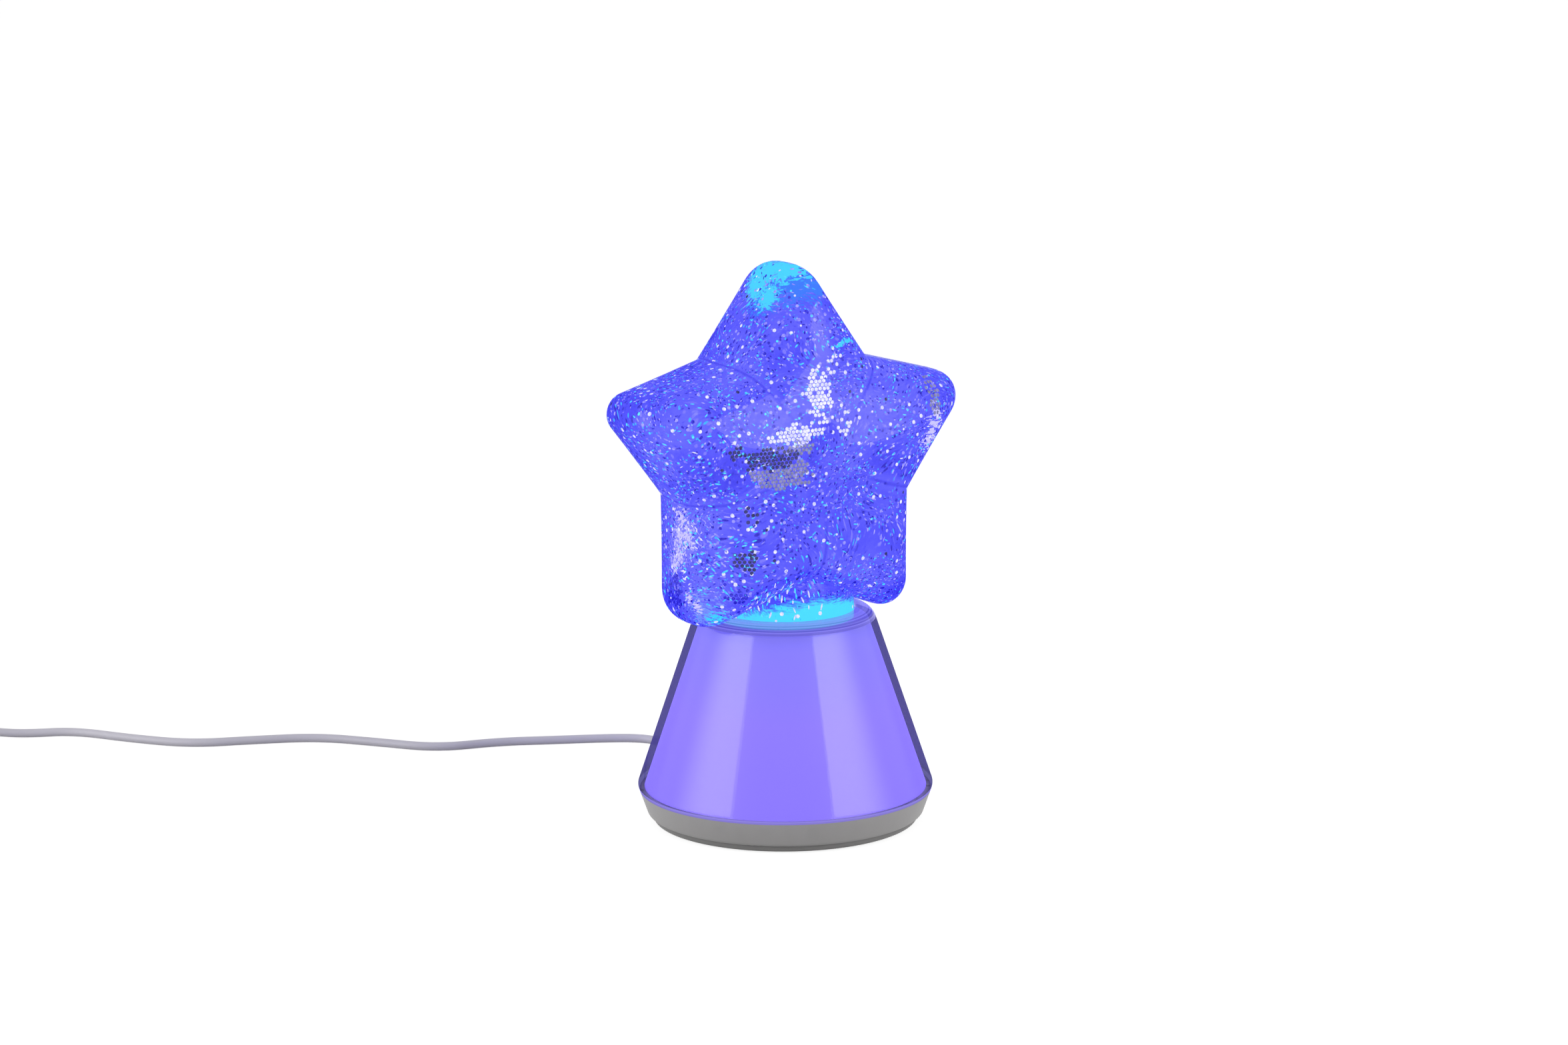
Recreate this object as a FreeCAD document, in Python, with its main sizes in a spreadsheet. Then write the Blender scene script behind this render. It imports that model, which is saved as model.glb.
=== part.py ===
import FreeCAD, Part
import math
import os
import Sketcher
from FreeCAD import Placement, Rotation, Vector

# Star glitter table lamp, in millimetres. The table is at zero height, the lamp's axis is the
# upright axis, the star faces the front, -Y, and the lead leaves at the back, +Y.

SIZES = {
    # Overall sizes of the lamp.
    "lamp_height": 227.9,  # from the table to the tip of the upper arm
    "star_width": 148.846,  # across the two side arms
    "base_width": 120,  # across the widest line of the clear cone
    # Base: a tapered ring on a screwed bottom plate with rubber feet.
    "foot_lift": 0.6,  # gap between table and bottom plate
    "foot_radius": 5,  # rubber foot radius
    "foot_height": 1.4,  # rubber foot height
    "foot_circle": 38,  # circle that the feet lie on, radius
    "foot_count": 4,  # number of feet
    "plate_thick": 2.6,  # bottom plate thickness
    "plate_inset": 2,  # bottom plate inside the foot of the base ring
    "spigot_height": 1.6,  # rim on the plate that centres the ring
    "spigot_wall": 1.6,  # wall of that rim
    "ring_taper": 3.5,  # base ring, from its top radius to its bottom radius
    "ring_step": 0.7,  # base ring inside the widest line of the cone, at the seam
    "ring_height": 10,  # base ring height above the plate
    "ring_wall": 3.1,  # base ring wall, level
    "ring_round": 2.2,  # rounding of the ring's lower edge
    "shelf_thick": 1.6,  # shelf in the base ring
    "shelf_inner_radius": 36,  # opening in the shelf, radius
    "ring_rabbet": 2,  # depth of the seat for the clear cone
    "boss_radius": 3.2,  # screw boss radius
    "boss_inset": 11.8,  # circle of the base screws inside the foot of the ring
    "boss_count": 3,  # number of base screws
    "screw_radius": 1.3,  # screw shank radius
    "screw_head_radius": 2.6,  # screw head radius
    "screw_head_height": 1.2,  # screw head height
    "screw_length": 6.5,  # screw shank length
    "screw_slack": 0.1,  # gap round a screw
    "head_sink": 1.4,  # depth of the screw head pocket
    # Clear outer cone and the lit opal cone inside it.
    "cone_bulge_rise": 2,  # height of the widest line above the seam
    "cone_to_star": 62.1,  # from the top of the clear cone up to the middle of the star
    "cone_shoulder": 7.4,  # from the neck out to the cone's top corner before rounding
    "cone_wall": 2.2,  # clear cone wall
    "cone_corner": 6,  # rounding of the top corner
    "cone_foot_round": 3,  # rounding of the clear cone at its widest line
    "cone_ledge": 0.8,  # height of the ledge that carries the opal cone
    "cone_ledge_width": 1.6,  # width of that ledge
    "opal_gap": 1.2,  # air between clear cone and opal cone
    "opal_wall": 1.4,  # opal cone wall
    "fit_gap": 0.2,  # gap of a sliding fit
    "seat_gap": 0.1,  # gap of a close seat
    # Star vessel: five blunt arms, swelling to the middle, on a round neck.
    "star_valley": 49.5,  # from the centre to a valley between arms
    "star_tip_round": 8.8,  # rounding of an arm's tip
    "star_half_depth": 34.5,  # half thickness of the star at its middle
    "star_tip_swell": 2.8,  # how full the arm's profile is
    "star_valley_swell": 3.6,  # how full the valley's profile is
    "star_wall": 2.2,  # wall of the star
    "star_front_share": 0.997,  # share of the half depth where the front flattens
    "neck_radius": 28,  # neck, outside radius
    "neck_wall": 2.2,  # neck wall
    "neck_depth": 12.6,  # length of neck under the top of the clear cone
    "neck_straight_drop": 52.6,  # from the middle of the star down to where the neck narrows
    "neck_root_drop": 38.1,  # from the middle of the star down to where the neck ends
    "neck_root_radius": 16,  # radius of the neck there
    # Closing cap of the vessel with its seal ring, and the collar that clamps the cones.
    "cap_flange_thick": 2,  # cap flange
    "cap_flange_width": 3,  # cap flange outside the neck
    "cap_plug_height": 5.6,  # height of the plug in the neck
    "cap_plug_wall": 3.2,  # wall of the plug
    "seal_wire": 1.1,  # seal ring section, radius
    "seal_height": 2.9,  # seal ring above the neck's end
    "groove_slack": 0.1,  # gap above and below the seal ring
    "collar_width": 3.4,  # collar outside the neck
    "collar_height": 3.6,  # collar height
    # Stirrer in the liquid, driven through the cap by magnets.
    "pin_radius": 1.5,  # stirrer pin radius
    "pin_length": 19.2,  # stirrer pin length
    "pin_boss_radius": 3.6,  # boss that holds the pin, radius
    "pin_boss_height": 2.6,  # boss height
    "bearing_gap": 0.06,  # running gap of a bore on its pin
    "hub_lift": 0.3,  # gap between boss and stirrer
    "hub_radius": 13,  # stirrer hub radius
    "hub_height": 4,  # stirrer hub height
    "blade_reach": 17,  # stirrer blade, from the axis
    "blade_root": 2.6,  # inner end of a blade
    "blade_thick": 1.6,  # blade thickness
    "blade_height": 8,  # blade height
    "blade_count": 4,  # number of blades
    "keeper_radius": 3.4,  # retaining cap on the pin, radius
    "keeper_height": 2.4,  # retaining cap height
    "magnet_radius": 4,  # magnet radius
    "magnet_height": 2.5,  # magnet height
    "magnet_circle": 8.4,  # circle of the magnets, radius
    "magnet_count": 2,  # number of magnets in a set
    # Motor, its bracket and the tube that carries both.
    "carrier_radius": 13,  # magnet carrier radius
    "carrier_height": 4,  # magnet carrier height
    "carrier_gap": 1,  # gap between carrier and cap
    "shaft_radius": 1,  # motor shaft radius
    "shaft_depth": 10,  # length of shaft inside the motor
    "motor_radius": 12.1,  # motor radius
    "motor_height": 12.4,  # motor height
    "motor_drop": 1,  # motor top below the upper light board
    "vent_radius": 5,  # opening under the motor, radius
    "motor_nose_radius": 3,  # motor bearing nose radius
    "motor_nose_height": 1.2,  # motor bearing nose height
    "bracket_wall": 2.4,  # motor cup wall
    "bracket_floor": 1.6,  # motor cup floor and flange
    "flange_radius": 24,  # flange radius of cup and tube
    "flange_thick": 2,  # flange of the tube
    "tube_radius": 18,  # carrying tube, outside radius
    "tube_wall": 2,  # carrying tube wall
    "foot_flange_radius": 25,  # foot flange of the tube
    "mount_circle": 21,  # circle of the motor and tube screws, radius
    "mount_screw_count": 3,  # screws in each flange
    "mount_screw_length": 3.4,  # shank of a flange screw
    # Boards, light sources and the reflector between them.
    "board_thick": 1.6,  # circuit board thickness
    "neck_board_hole": 13.4,  # hole in the upper light board, radius
    "board_gap": 0.8,  # gap between upper board and magnet carrier
    "diode_length": 3.5,  # light diode length
    "diode_width": 2.8,  # light diode width
    "diode_height": 1.6,  # light diode height
    "neck_diode_circle": 21,  # circle of the upper diodes, radius
    "neck_diode_count": 6,  # number of upper diodes
    "baffle_wall": 1.2,  # reflector wall
    "base_board_inset": 1.2,  # lower light board inside the ledge of the clear cone
    "base_board_hole": 30,  # hole in the lower light board, radius
    "base_diode_circle": 44,  # circle of the lower diodes, radius
    "base_diode_count": 12,  # number of lower diodes
    "driver_length": 26,  # driver board length
    "driver_width": 9,  # driver board width
    "driver_place": 32,  # driver board centre from the axis
    "driver_post_place": 9,  # posts from the middle of the driver board
    "driver_post_height": 1.6,  # posts under the driver board
    "driver_post_radius": 1.6,  # post radius
    # Lead: strain relief, cord, switch in the cord, put-away coil and plug.
    "cord_radius": 1.85,  # cord radius
    "exit_height": 6.6,  # height of the cord where it leaves the base
    "relief_inset": 8.3,  # inner end of the strain relief inside the foot of the ring
    "relief_straight": 11,  # straight length of the strain relief
    "relief_length": 31,  # whole length of the strain relief
    "relief_root_radius": 2.9,  # strain relief radius at the base
    "relief_tip_radius": 2.35,  # strain relief radius at its tip
    "relief_rib_width": 1.5,  # width of a rib on the strain relief
    "relief_rib_step": 2.9,  # from rib to rib
    "relief_bead": 0.4,  # rib height on the strain relief
    "relief_rib_count": 6,  # ribs on the strain relief
    "coil_low_arcs": 7,  # half turns of the coil's lower layer
    "coil_high_arcs": 5,  # half turns of its upper layer
    "coil_outer_radius": 29.4,  # first loop, at its middle
    "coil_pitch": 4.13,  # from loop to loop
    "coil_layer_rise": 4.15,  # from layer to layer
    "switch_length": 48,  # switch length
    "switch_width": 18,  # switch width
    "switch_height": 11.4,  # switch height
    "switch_wall": 1.6,  # switch wall
    "switch_corner": 6,  # rounding of the switch in plan
    "rocker_length": 15,  # rocker length
    "rocker_width": 8,  # rocker width
    "rocker_height": 4.4,  # rocker height above its pin
    "rocker_depth": 1.6,  # rocker depth under its pin
    "rocker_pin_height": 8.2,  # rocker pin above the table
    "rocker_gap": 0.9,  # gap round the rocker, along the switch
    "rocker_side_gap": 0.4,  # gap beside the rocker
    "rocker_pin_radius": 1,  # rocker pin radius
    "rocker_pin_length": 12.2,  # rocker pin length
    "rocker_lug_thick": 1.8,  # lug that holds the pin
    "switch_screw_radius": 1,  # switch screw shank radius
    "switch_screw_head": 1.9,  # switch screw head radius
    "switch_screw_head_height": 1.1,  # switch screw head height
    "switch_screw_place": 18,  # switch screws from the middle
    "switch_screw_length": 7,  # switch screw shank length
    "switch_post_radius": 2.4,  # switch screw post radius
    "rocker_tilt": 7,  # tilt of the rocker each way
    "plug_length": 24,  # plug grip length
    "plug_width": 15.6,  # plug grip width
    "plug_height": 8,  # plug grip height
    "plug_corner": 2,  # rounding of the plug grip
    "plug_relief_length": 9,  # strain relief of the plug
    "shell_length": 14,  # plug shell length outside the grip
    "shell_width": 12,  # plug shell width
    "shell_height": 4.5,  # plug shell height
    "shell_wall": 0.4,  # plug shell sheet
    "tongue_height": 1.8,  # contact tongue
}

doc = FreeCAD.newDocument("star_glitter_lamp")
sheet = doc.addObject("Spreadsheet::Sheet", "Sizes")
sheet_rows = {}


def size(name, value):
    """Write one driving size into the sheet, under its own name."""
    row = len(sheet_rows) + 1
    sheet.set("A%d" % row, name)
    sheet.set("B%d" % row, str(value))
    sheet.setAlias("B%d" % row, name)
    sheet_rows[name] = row


for size_name, size_value in SIZES.items():
    size(size_name, size_value)
doc.recompute()

# Heights and radii that follow from the sizes, as formulas on their names.
places = {}


def bound(formula):
    """Turn plain names in a formula into references to the sheet."""
    words = []
    word = ""
    for letter in formula + " ":
        if letter.isalnum() or letter in "_.":
            word += letter
            continue
        if word in places:
            words.append("(" + places[word] + ")")
        elif word in sheet_rows:
            words.append("Sizes." + word)
        else:
            words.append(word)
        words.append(letter)
        word = ""
    return "".join(words).strip()


def place(name, formula):
    """Name a height or radius that is worked out from the sizes."""
    places[name] = bound(formula)


def number(formula):
    """Value of a formula on the sizes."""
    return float(sheet.evalExpression(bound(formula)))


place("star_reach", "(star_width / 2 - star_tip_round) / cos(18) + star_tip_round")
place("star_height", "lamp_height - star_reach")
place("cone_top_height", "star_height - cone_to_star")
place("cone_bulge_radius", "base_width / 2")
place("neck_end_height", "cone_top_height - neck_depth")
place("neck_straight_top", "star_height - neck_straight_drop")
place("neck_root_height", "star_height - neck_root_drop")
place("ring_top_radius", "cone_bulge_radius - ring_step")
place("ring_low_radius", "ring_top_radius - ring_taper")
place("plate_rim_radius", "ring_low_radius - plate_inset")
place("cone_top_radius", "neck_radius + cone_shoulder")
place("cap_flange_radius", "neck_radius + cap_flange_width")
place("collar_radius", "neck_radius + collar_width")
place("neck_board_radius", "cap_flange_radius")
place("boss_circle", "ring_low_radius - boss_inset")
place("relief_start", "ring_low_radius - relief_inset")
place("relief_straight_end", "relief_start + relief_straight")
place("relief_end", "relief_start + relief_length")
place("plate_top", "foot_lift + plate_thick")
place("ring_inner", "ring_low_radius - ring_wall")
place("ring_top", "plate_top + ring_height")
place("shelf_top", "ring_top - ring_rabbet")
place("shelf_bottom", "shelf_top - shelf_thick")
place("rabbet_radius", "ring_top_radius - ring_wall")
place("cone_ledge_radius", "rabbet_radius - cone_ledge_width")
place("base_board_radius", "cone_ledge_radius - base_board_inset")
place("bulge_height", "ring_top + cone_bulge_rise")
place("ledge_top", "ring_top + cone_ledge")
place("cone_lean", "(cone_bulge_radius - cone_top_radius) / (cone_top_height - bulge_height)")
place("level_share", "sqrt(1 + cone_lean ^ 2)")
place("cone_under", "cone_top_height - cone_wall")
place("opal_top", "cone_under - opal_gap")
place("opal_under", "opal_top - opal_wall")
place("opal_inset", "(cone_wall + opal_gap) * level_share")
place("neck_hole", "neck_radius + fit_gap")
place("neck_inner", "neck_radius - neck_wall")
place("cap_bottom", "neck_end_height - cap_flange_thick")
place("plug_outer", "neck_inner - seat_gap")
place("plug_top", "neck_end_height + cap_plug_height")
place("seal_middle", "neck_end_height + seal_height")
place("boss_top", "neck_end_height + pin_boss_height")
place("hub_bottom", "boss_top + hub_lift")
place("hub_top", "hub_bottom + hub_height")
place("blade_top", "hub_top + blade_height")
place("carrier_top", "cap_bottom - carrier_gap")
place("carrier_bottom", "carrier_top - carrier_height")
place("neck_board_top", "carrier_bottom - board_gap")
place("neck_board_bottom", "neck_board_top - board_thick")
place("motor_top", "neck_board_bottom - motor_drop")
place("motor_bottom", "motor_top - motor_height")
place("cup_inner", "motor_radius + seat_gap")
place("cup_outer", "cup_inner + bracket_wall")
place("tube_top", "motor_bottom - bracket_floor")
place("driver_bottom", "plate_top + driver_post_height")


def turned(label, outline):
    """A body turned about the upright axis from its outline of radius and height formulas."""
    body = doc.addObject("PartDesign::Body", label)
    sketch = body.newObject("Sketcher::SketchObject", label + "_outline")
    plane = [item for item in body.Origin.OriginFeatures if item.Role == "XZ_Plane"][0]
    sketch.AttachmentSupport = [(plane, "")]
    sketch.MapMode = "FlatFace"
    corners = [(number(radius), number(height)) for radius, height in outline]
    count = len(corners)
    for start in range(count):
        end = (start + 1) % count
        first = Vector(corners[start][0], corners[start][1], 0)
        last = Vector(corners[end][0], corners[end][1], 0)
        sketch.addGeometry(Part.LineSegment(first, last), False)
    for start in range(count):
        sketch.addConstraint(Sketcher.Constraint("Coincident", start, 2, (start + 1) % count, 1))
    for corner in range(count):
        bind_corner(sketch, corner, "DistanceX", -2, corners[corner][0], outline[corner][0])
        bind_corner(sketch, corner, "DistanceY", -1, corners[corner][1], outline[corner][1])
    turn = body.newObject("PartDesign::Revolution", label + "_turned")
    turn.Profile = sketch
    turn.ReferenceAxis = (sketch, ["V_Axis"])
    turn.Angle = 360
    body.Tip = turn
    doc.recompute()
    return body


def bind_corner(sketch, corner, kind, axis, value, formula):
    """Hold one corner of an outline by its distance from an axis."""
    if abs(value) < 1e-9:
        sketch.addConstraint(Sketcher.Constraint("PointOnObject", corner, 1, axis))
        return
    index = sketch.addConstraint(Sketcher.Constraint(kind, -1, 1, corner, 1, value))
    name = "corner%d%s" % (corner, kind[-1])
    sketch.renameConstraint(index, name)
    sketch.setExpression("Constraints." + name, bound(formula))


def round_circles(body, circles, radius):
    """Round the circular edges of a turned body that pass through the given corners."""
    base = body.Tip
    names = []
    for index, edge in enumerate(base.Shape.Edges):
        if not isinstance(edge.Curve, Part.Circle):
            continue
        for ring_radius, ring_height in circles:
            near_radius = abs(edge.Curve.Radius - number(ring_radius)) < 0.001
            near_height = abs(edge.Curve.Center.z - number(ring_height)) < 0.001
            if near_radius and near_height:
                names.append("Edge%d" % (index + 1))
    fillet = body.newObject("PartDesign::Fillet", body.Label + "_rounding")
    fillet.Base = (base, names)
    fillet.setExpression("Radius", bound(radius))
    body.Tip = fillet
    doc.recompute()
    return body


def solid(kind, label, across="0", back="0", up="0", **sizes):
    """A primitive with its sizes and its place bound to the sheet."""
    piece = doc.addObject("Part::" + kind, label)
    for name, formula in sizes.items():
        piece.setExpression(name, bound(formula))
    for axis, formula in (("x", across), ("y", back), ("z", up)):
        if formula != "0":
            piece.setExpression(".Placement.Base." + axis, bound(formula))
    return piece


def rod(label, radius, bottom, height, across="0", back="0"):
    """An upright cylinder."""
    return solid("Cylinder", label, across, back, bottom, Radius=radius, Height=height)


def block(label, length, width, height, across, back, bottom):
    """A box centred in plan on its place."""
    left = "%s - (%s) / 2" % (across, length)
    front = "%s - (%s) / 2" % (back, width)
    return solid("Box", label, left, front, bottom, Length=length, Width=width, Height=height)


def joined(label, pieces):
    """Several solids fused into one."""
    union = doc.addObject("Part::MultiFuse", label)
    union.Shapes = pieces
    return union


def grouped(label, pieces):
    """Separate like solids kept in one node."""
    group = doc.addObject("Part::Compound", label)
    group.Links = pieces
    return group


def cut(label, base, tools):
    """A solid with others taken out of it."""
    tool = tools[0]
    if len(tools) > 1:
        tool = joined(label + "_cutters", tools)
    result = doc.addObject("Part::Cut", label)
    result.Base = base
    result.Tool = tool
    return result


def ring_places(circle, count, start):
    """Formulas of evenly spaced places on a circle about the axis."""
    copies = int(number(count))
    found = []
    for step in range(copies):
        angle = start + 360.0 * step / copies
        found.append(("(%s) * cos(%.6f)" % (circle, angle), "(%s) * sin(%.6f)" % (circle, angle), angle))
    return found


def screws(label, circle, count, start, seat, head_way, shank_length):
    """Like screws on a circle: head on one side of the seat height, shank on the other."""
    made = []
    for step, (across, back, angle) in enumerate(ring_places(circle, count, start)):
        head_bottom = seat if head_way > 0 else "%s - screw_head_height" % seat
        shank_bottom = "%s - %s" % (seat, shank_length) if head_way > 0 else seat
        head = rod("%s_head%d" % (label, step), "screw_head_radius", head_bottom,
                   "screw_head_height", across, back)
        shank = rod("%s_shank%d" % (label, step), "screw_radius", shank_bottom,
                    shank_length, across, back)
        made.append(joined("%s_screw%d" % (label, step), [head, shank]))
    return grouped(label, made)


def holes(label, circle, count, start, radius, bottom, height):
    """Upright cylinders on a circle, as cutters or bosses."""
    made = []
    for step, (across, back, angle) in enumerate(ring_places(circle, count, start)):
        made.append(rod("%s%d" % (label, step), radius, bottom, height, across, back))
    return made


def relief_way(label):
    """Room for the strain relief, level and towards the back."""
    way = solid("Cylinder", label, "0", "0", "exit_height",
                Radius="relief_root_radius + seat_gap", Height="ring_top_radius")
    way.Placement.Rotation = Rotation(Vector(1, 0, 0), -90)
    return way


nodes = []

# Bottom plate: it carries the feet, the tube and the driver board, and closes the ring.
BASE_SCREW_TURN = 30
TUBE_SCREW_TURN = 90
FOOT_TURN = 45
plate_disc = turned("plate_disc", [
    ("0", "foot_lift"),
    ("plate_rim_radius", "foot_lift"),
    ("plate_rim_radius", "plate_top"),
    ("ring_inner - fit_gap", "plate_top"),
    ("ring_inner - fit_gap", "plate_top + spigot_height"),
    ("ring_inner - fit_gap - spigot_wall", "plate_top + spigot_height"),
    ("ring_inner - fit_gap - spigot_wall", "plate_top"),
    ("0", "plate_top"),
])
driver_posts = [
    rod("driver_post_left", "driver_post_radius", "plate_top", "driver_post_height",
        "-driver_post_place", "driver_place"),
    rod("driver_post_right", "driver_post_radius", "plate_top", "driver_post_height",
        "driver_post_place", "driver_place"),
]
plate_whole = joined("plate_whole", [plate_disc] + driver_posts)
plate_cutters = holes("foot_pocket", "foot_circle", "foot_count", FOOT_TURN,
                      "foot_radius + screw_slack", "0", "foot_height")
plate_cutters += holes("base_head_pocket", "boss_circle", "boss_count", BASE_SCREW_TURN,
                       "screw_head_radius + screw_slack", "0", "foot_lift + head_sink")
plate_cutters += holes("base_screw_way", "boss_circle", "boss_count", BASE_SCREW_TURN,
                       "screw_radius + screw_slack", "0", "plate_top")
plate_cutters += holes("tube_head_pocket", "mount_circle", "mount_screw_count", TUBE_SCREW_TURN,
                       "screw_head_radius + screw_slack", "0", "foot_lift + head_sink")
plate_cutters += holes("tube_screw_way", "mount_circle", "mount_screw_count", TUBE_SCREW_TURN,
                       "screw_radius + screw_slack", "0", "plate_top")
plate_cutters.append(relief_way("plate_relief_way"))
nodes.append(cut("bottom_plate", plate_whole, plate_cutters))
nodes.append(grouped("rubber_feet", holes("foot", "foot_circle", "foot_count", FOOT_TURN,
                                          "foot_radius", "0", "foot_height")))
nodes.append(screws("base_screws", "boss_circle", "boss_count", BASE_SCREW_TURN,
                    "foot_lift + head_sink", -1, "screw_length"))
nodes.append(screws("tube_screws", "mount_circle", "mount_screw_count", TUBE_SCREW_TURN,
                    "foot_lift + head_sink", -1, "mount_screw_length"))

# Base ring: widens to the seam, with a shelf inside for the lower light board.
ring_turned = turned("ring_turned", [
    ("ring_inner", "plate_top"),
    ("ring_low_radius", "plate_top"),
    ("ring_top_radius", "ring_top"),
    ("rabbet_radius", "ring_top"),
    ("rabbet_radius", "shelf_top"),
    ("shelf_inner_radius", "shelf_top"),
    ("shelf_inner_radius", "shelf_bottom"),
    ("ring_inner", "shelf_bottom"),
])
round_circles(ring_turned, [("ring_low_radius", "plate_top")], "ring_round")
ring_bosses = holes("ring_boss", "boss_circle", "boss_count", BASE_SCREW_TURN,
                    "boss_radius", "plate_top", "shelf_bottom - plate_top + seat_gap")
ring_whole = joined("ring_whole", [ring_turned] + ring_bosses)
ring_cutters = holes("boss_pilot", "boss_circle", "boss_count", BASE_SCREW_TURN,
                     "screw_radius + bearing_gap", "plate_top", "screw_length - plate_thick + head_sink")
ring_cutters.append(relief_way("ring_relief_way"))
nodes.append(cut("base_ring", ring_whole, ring_cutters))

# Strain relief: a soft ribbed sleeve through the back of the ring.
relief_outline = [
    ("0", "relief_start"),
    ("relief_root_radius", "relief_start"),
    ("relief_root_radius", "relief_straight_end"),
]
relief_taper = "(relief_root_radius - relief_tip_radius) / (relief_end - relief_straight_end)"
for rib in range(int(number("relief_rib_count"))):
    rib_start = "relief_straight_end + relief_rib_step * %.1f" % (rib + 0.5)
    rib_end = rib_start + " + relief_rib_width"
    for where, lift in ((rib_start, "0"), (rib_start, "relief_bead"), (rib_end, "relief_bead"), (rib_end, "0")):
        radius = "relief_root_radius - (%s - relief_straight_end) * %s + %s" % (where, relief_taper, lift)
        relief_outline.append((radius, where))
relief_outline.append(("relief_tip_radius", "relief_end"))
relief_outline.append(("0", "relief_end"))
relief = turned("strain_relief", relief_outline)
relief.Placement = Placement(Vector(0, 0, number("exit_height")), Rotation(Vector(1, 0, 0), -90))
relief.setExpression(".Placement.Base.z", bound("exit_height"))
nodes.append(relief)

# Clear outer cone, seated in the ring, with a round opening for the vessel's neck.
outer_cone = turned("clear_cone", [
    ("cone_ledge_radius", "shelf_top + seat_gap"),
    ("rabbet_radius - seat_gap", "shelf_top + seat_gap"),
    ("rabbet_radius - seat_gap", "ring_top"),
    ("ring_top_radius", "ring_top"),
    ("cone_bulge_radius", "bulge_height"),
    ("cone_top_radius", "cone_top_height"),
    ("neck_hole", "cone_top_height"),
    ("neck_hole", "cone_under"),
    ("cone_top_radius + (cone_wall * cone_lean) - cone_wall * level_share", "cone_under"),
    ("cone_bulge_radius + (bulge_height - ledge_top) * cone_lean - cone_wall * level_share", "ledge_top"),
    ("cone_ledge_radius", "ledge_top"),
])
round_circles(outer_cone, [("cone_top_radius", "cone_top_height")], "cone_corner")
nodes.append(round_circles(outer_cone, [("cone_bulge_radius", "bulge_height")], "cone_foot_round"))

# Opal cone: the lit shade that shows through the clear one.
OPAL_FOOT = "cone_bulge_radius + (bulge_height - ledge_top) * cone_lean - opal_inset"
OPAL_HEAD = "cone_top_radius + (cone_top_height - opal_top) * cone_lean - opal_inset"
opal_cone = turned("opal_cone", [
    (OPAL_FOOT, "ledge_top"),
    (OPAL_HEAD, "opal_top"),
    ("neck_hole", "opal_top"),
    ("neck_hole", "opal_under"),
    (OPAL_HEAD + " + opal_wall * cone_lean - opal_wall * level_share", "opal_under"),
    (OPAL_FOOT + " - opal_wall * level_share", "ledge_top"),
])
nodes.append(round_circles(opal_cone, [(OPAL_HEAD, "opal_top")], "cone_corner - cone_wall - opal_gap"))

# Collar on the neck, under the opal cone: it clamps both cones to the vessel.
nodes.append(turned("neck_collar", [
    ("neck_radius + seat_gap", "opal_under - collar_height"),
    ("collar_radius", "opal_under - collar_height"),
    ("collar_radius", "opal_under"),
    ("neck_radius + seat_gap", "opal_under"),
]))


# Star vessel. Level outlines of a five-armed star, each a little smaller than the one behind
# it, are lofted from back to front, once for the outside and once for the hollow.
LEVEL_SHARES = (0.3, 0.55, 0.73, 0.86, 0.94, 0.98)
ARM_ANGLE = 72
VALLEY_ANGLE = math.radians(ARM_ANGLE / 2)


def star_point(arm, along, aside, level):
    """A point of one arm: along the arm, aside of it, and forward of the star's plane."""
    turn = math.radians(90 + ARM_ANGLE * arm)
    across = along * math.cos(turn) - aside * math.sin(turn)
    up = along * math.sin(turn) + aside * math.cos(turn)
    return Vector(across, -level, number("star_height") + up)


def star_wire(reach, valley, tip_round, level):
    """Outline of the star at one level: straight flanks and a round tip on each arm."""
    valley_along = valley * math.cos(VALLEY_ANGLE)
    valley_aside = valley * math.sin(VALLEY_ANGLE)
    tip_middle = reach - tip_round
    to_valley = math.hypot(valley_along - tip_middle, valley_aside)
    lean = math.atan2(valley_aside, valley_along - tip_middle) - math.acos(tip_round / to_valley)
    touch_along = tip_middle + tip_round * math.cos(lean)
    touch_aside = tip_round * math.sin(lean)
    edges = []
    for arm in range(5):
        before = star_point(arm, valley_along, -valley_aside, level)
        rise = star_point(arm, touch_along, -touch_aside, level)
        tip = star_point(arm, reach, 0, level)
        fall = star_point(arm, touch_along, touch_aside, level)
        after = star_point(arm, valley_along, valley_aside, level)
        edges += [Part.LineSegment(before, rise).toShape(), Part.Arc(rise, tip, fall).toShape(),
                  Part.LineSegment(fall, after).toShape()]
    return Part.Wire(edges)


def star_body(inset):
    """The star's solid, drawn in by an inset on every side."""
    half_depth = number("star_half_depth") - inset
    shares = [number("star_front_share")] + list(reversed(LEVEL_SHARES)) + [0]
    shares = [-share for share in shares] + list(reversed(shares[:-1]))
    wires = []
    for share in shares:
        tip_power = number("star_tip_swell")
        valley_power = number("star_valley_swell")
        tip_scale = (1 - abs(share) ** tip_power) ** (1 / tip_power)
        valley_scale = (1 - abs(share) ** valley_power) ** (1 / valley_power)
        reach = (number("star_reach") - inset) * tip_scale
        valley = min((number("star_valley") - inset) * valley_scale, reach * 0.75)
        tip_round = (number("star_tip_round") - inset) * tip_scale
        wires.append(star_wire(reach, valley, tip_round, share * half_depth))
    return Part.makeLoft(wires, True, False)


def neck_body(inset, bottom):
    """The neck: a straight tube that narrows where it grows into the star."""
    radius = number("neck_radius") - inset
    straight_top = number("neck_straight_top")
    root_height = number("neck_root_height")
    tube = Part.makeCylinder(radius, straight_top - bottom, Vector(0, 0, bottom))
    root = Part.makeCone(radius, number("neck_root_radius") - inset, root_height - straight_top,
                         Vector(0, 0, straight_top))
    return tube.fuse(root)


vessel_outside = star_body(0).fuse(neck_body(0, number("neck_end_height")))
vessel_hollow = star_body(number("star_wall")).fuse(neck_body(number("neck_wall"), number("neck_end_height")))
vessel = doc.addObject("Part::Feature", "star_vessel")
vessel.Shape = vessel_outside.cut(vessel_hollow)
nodes.append(vessel)

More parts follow.
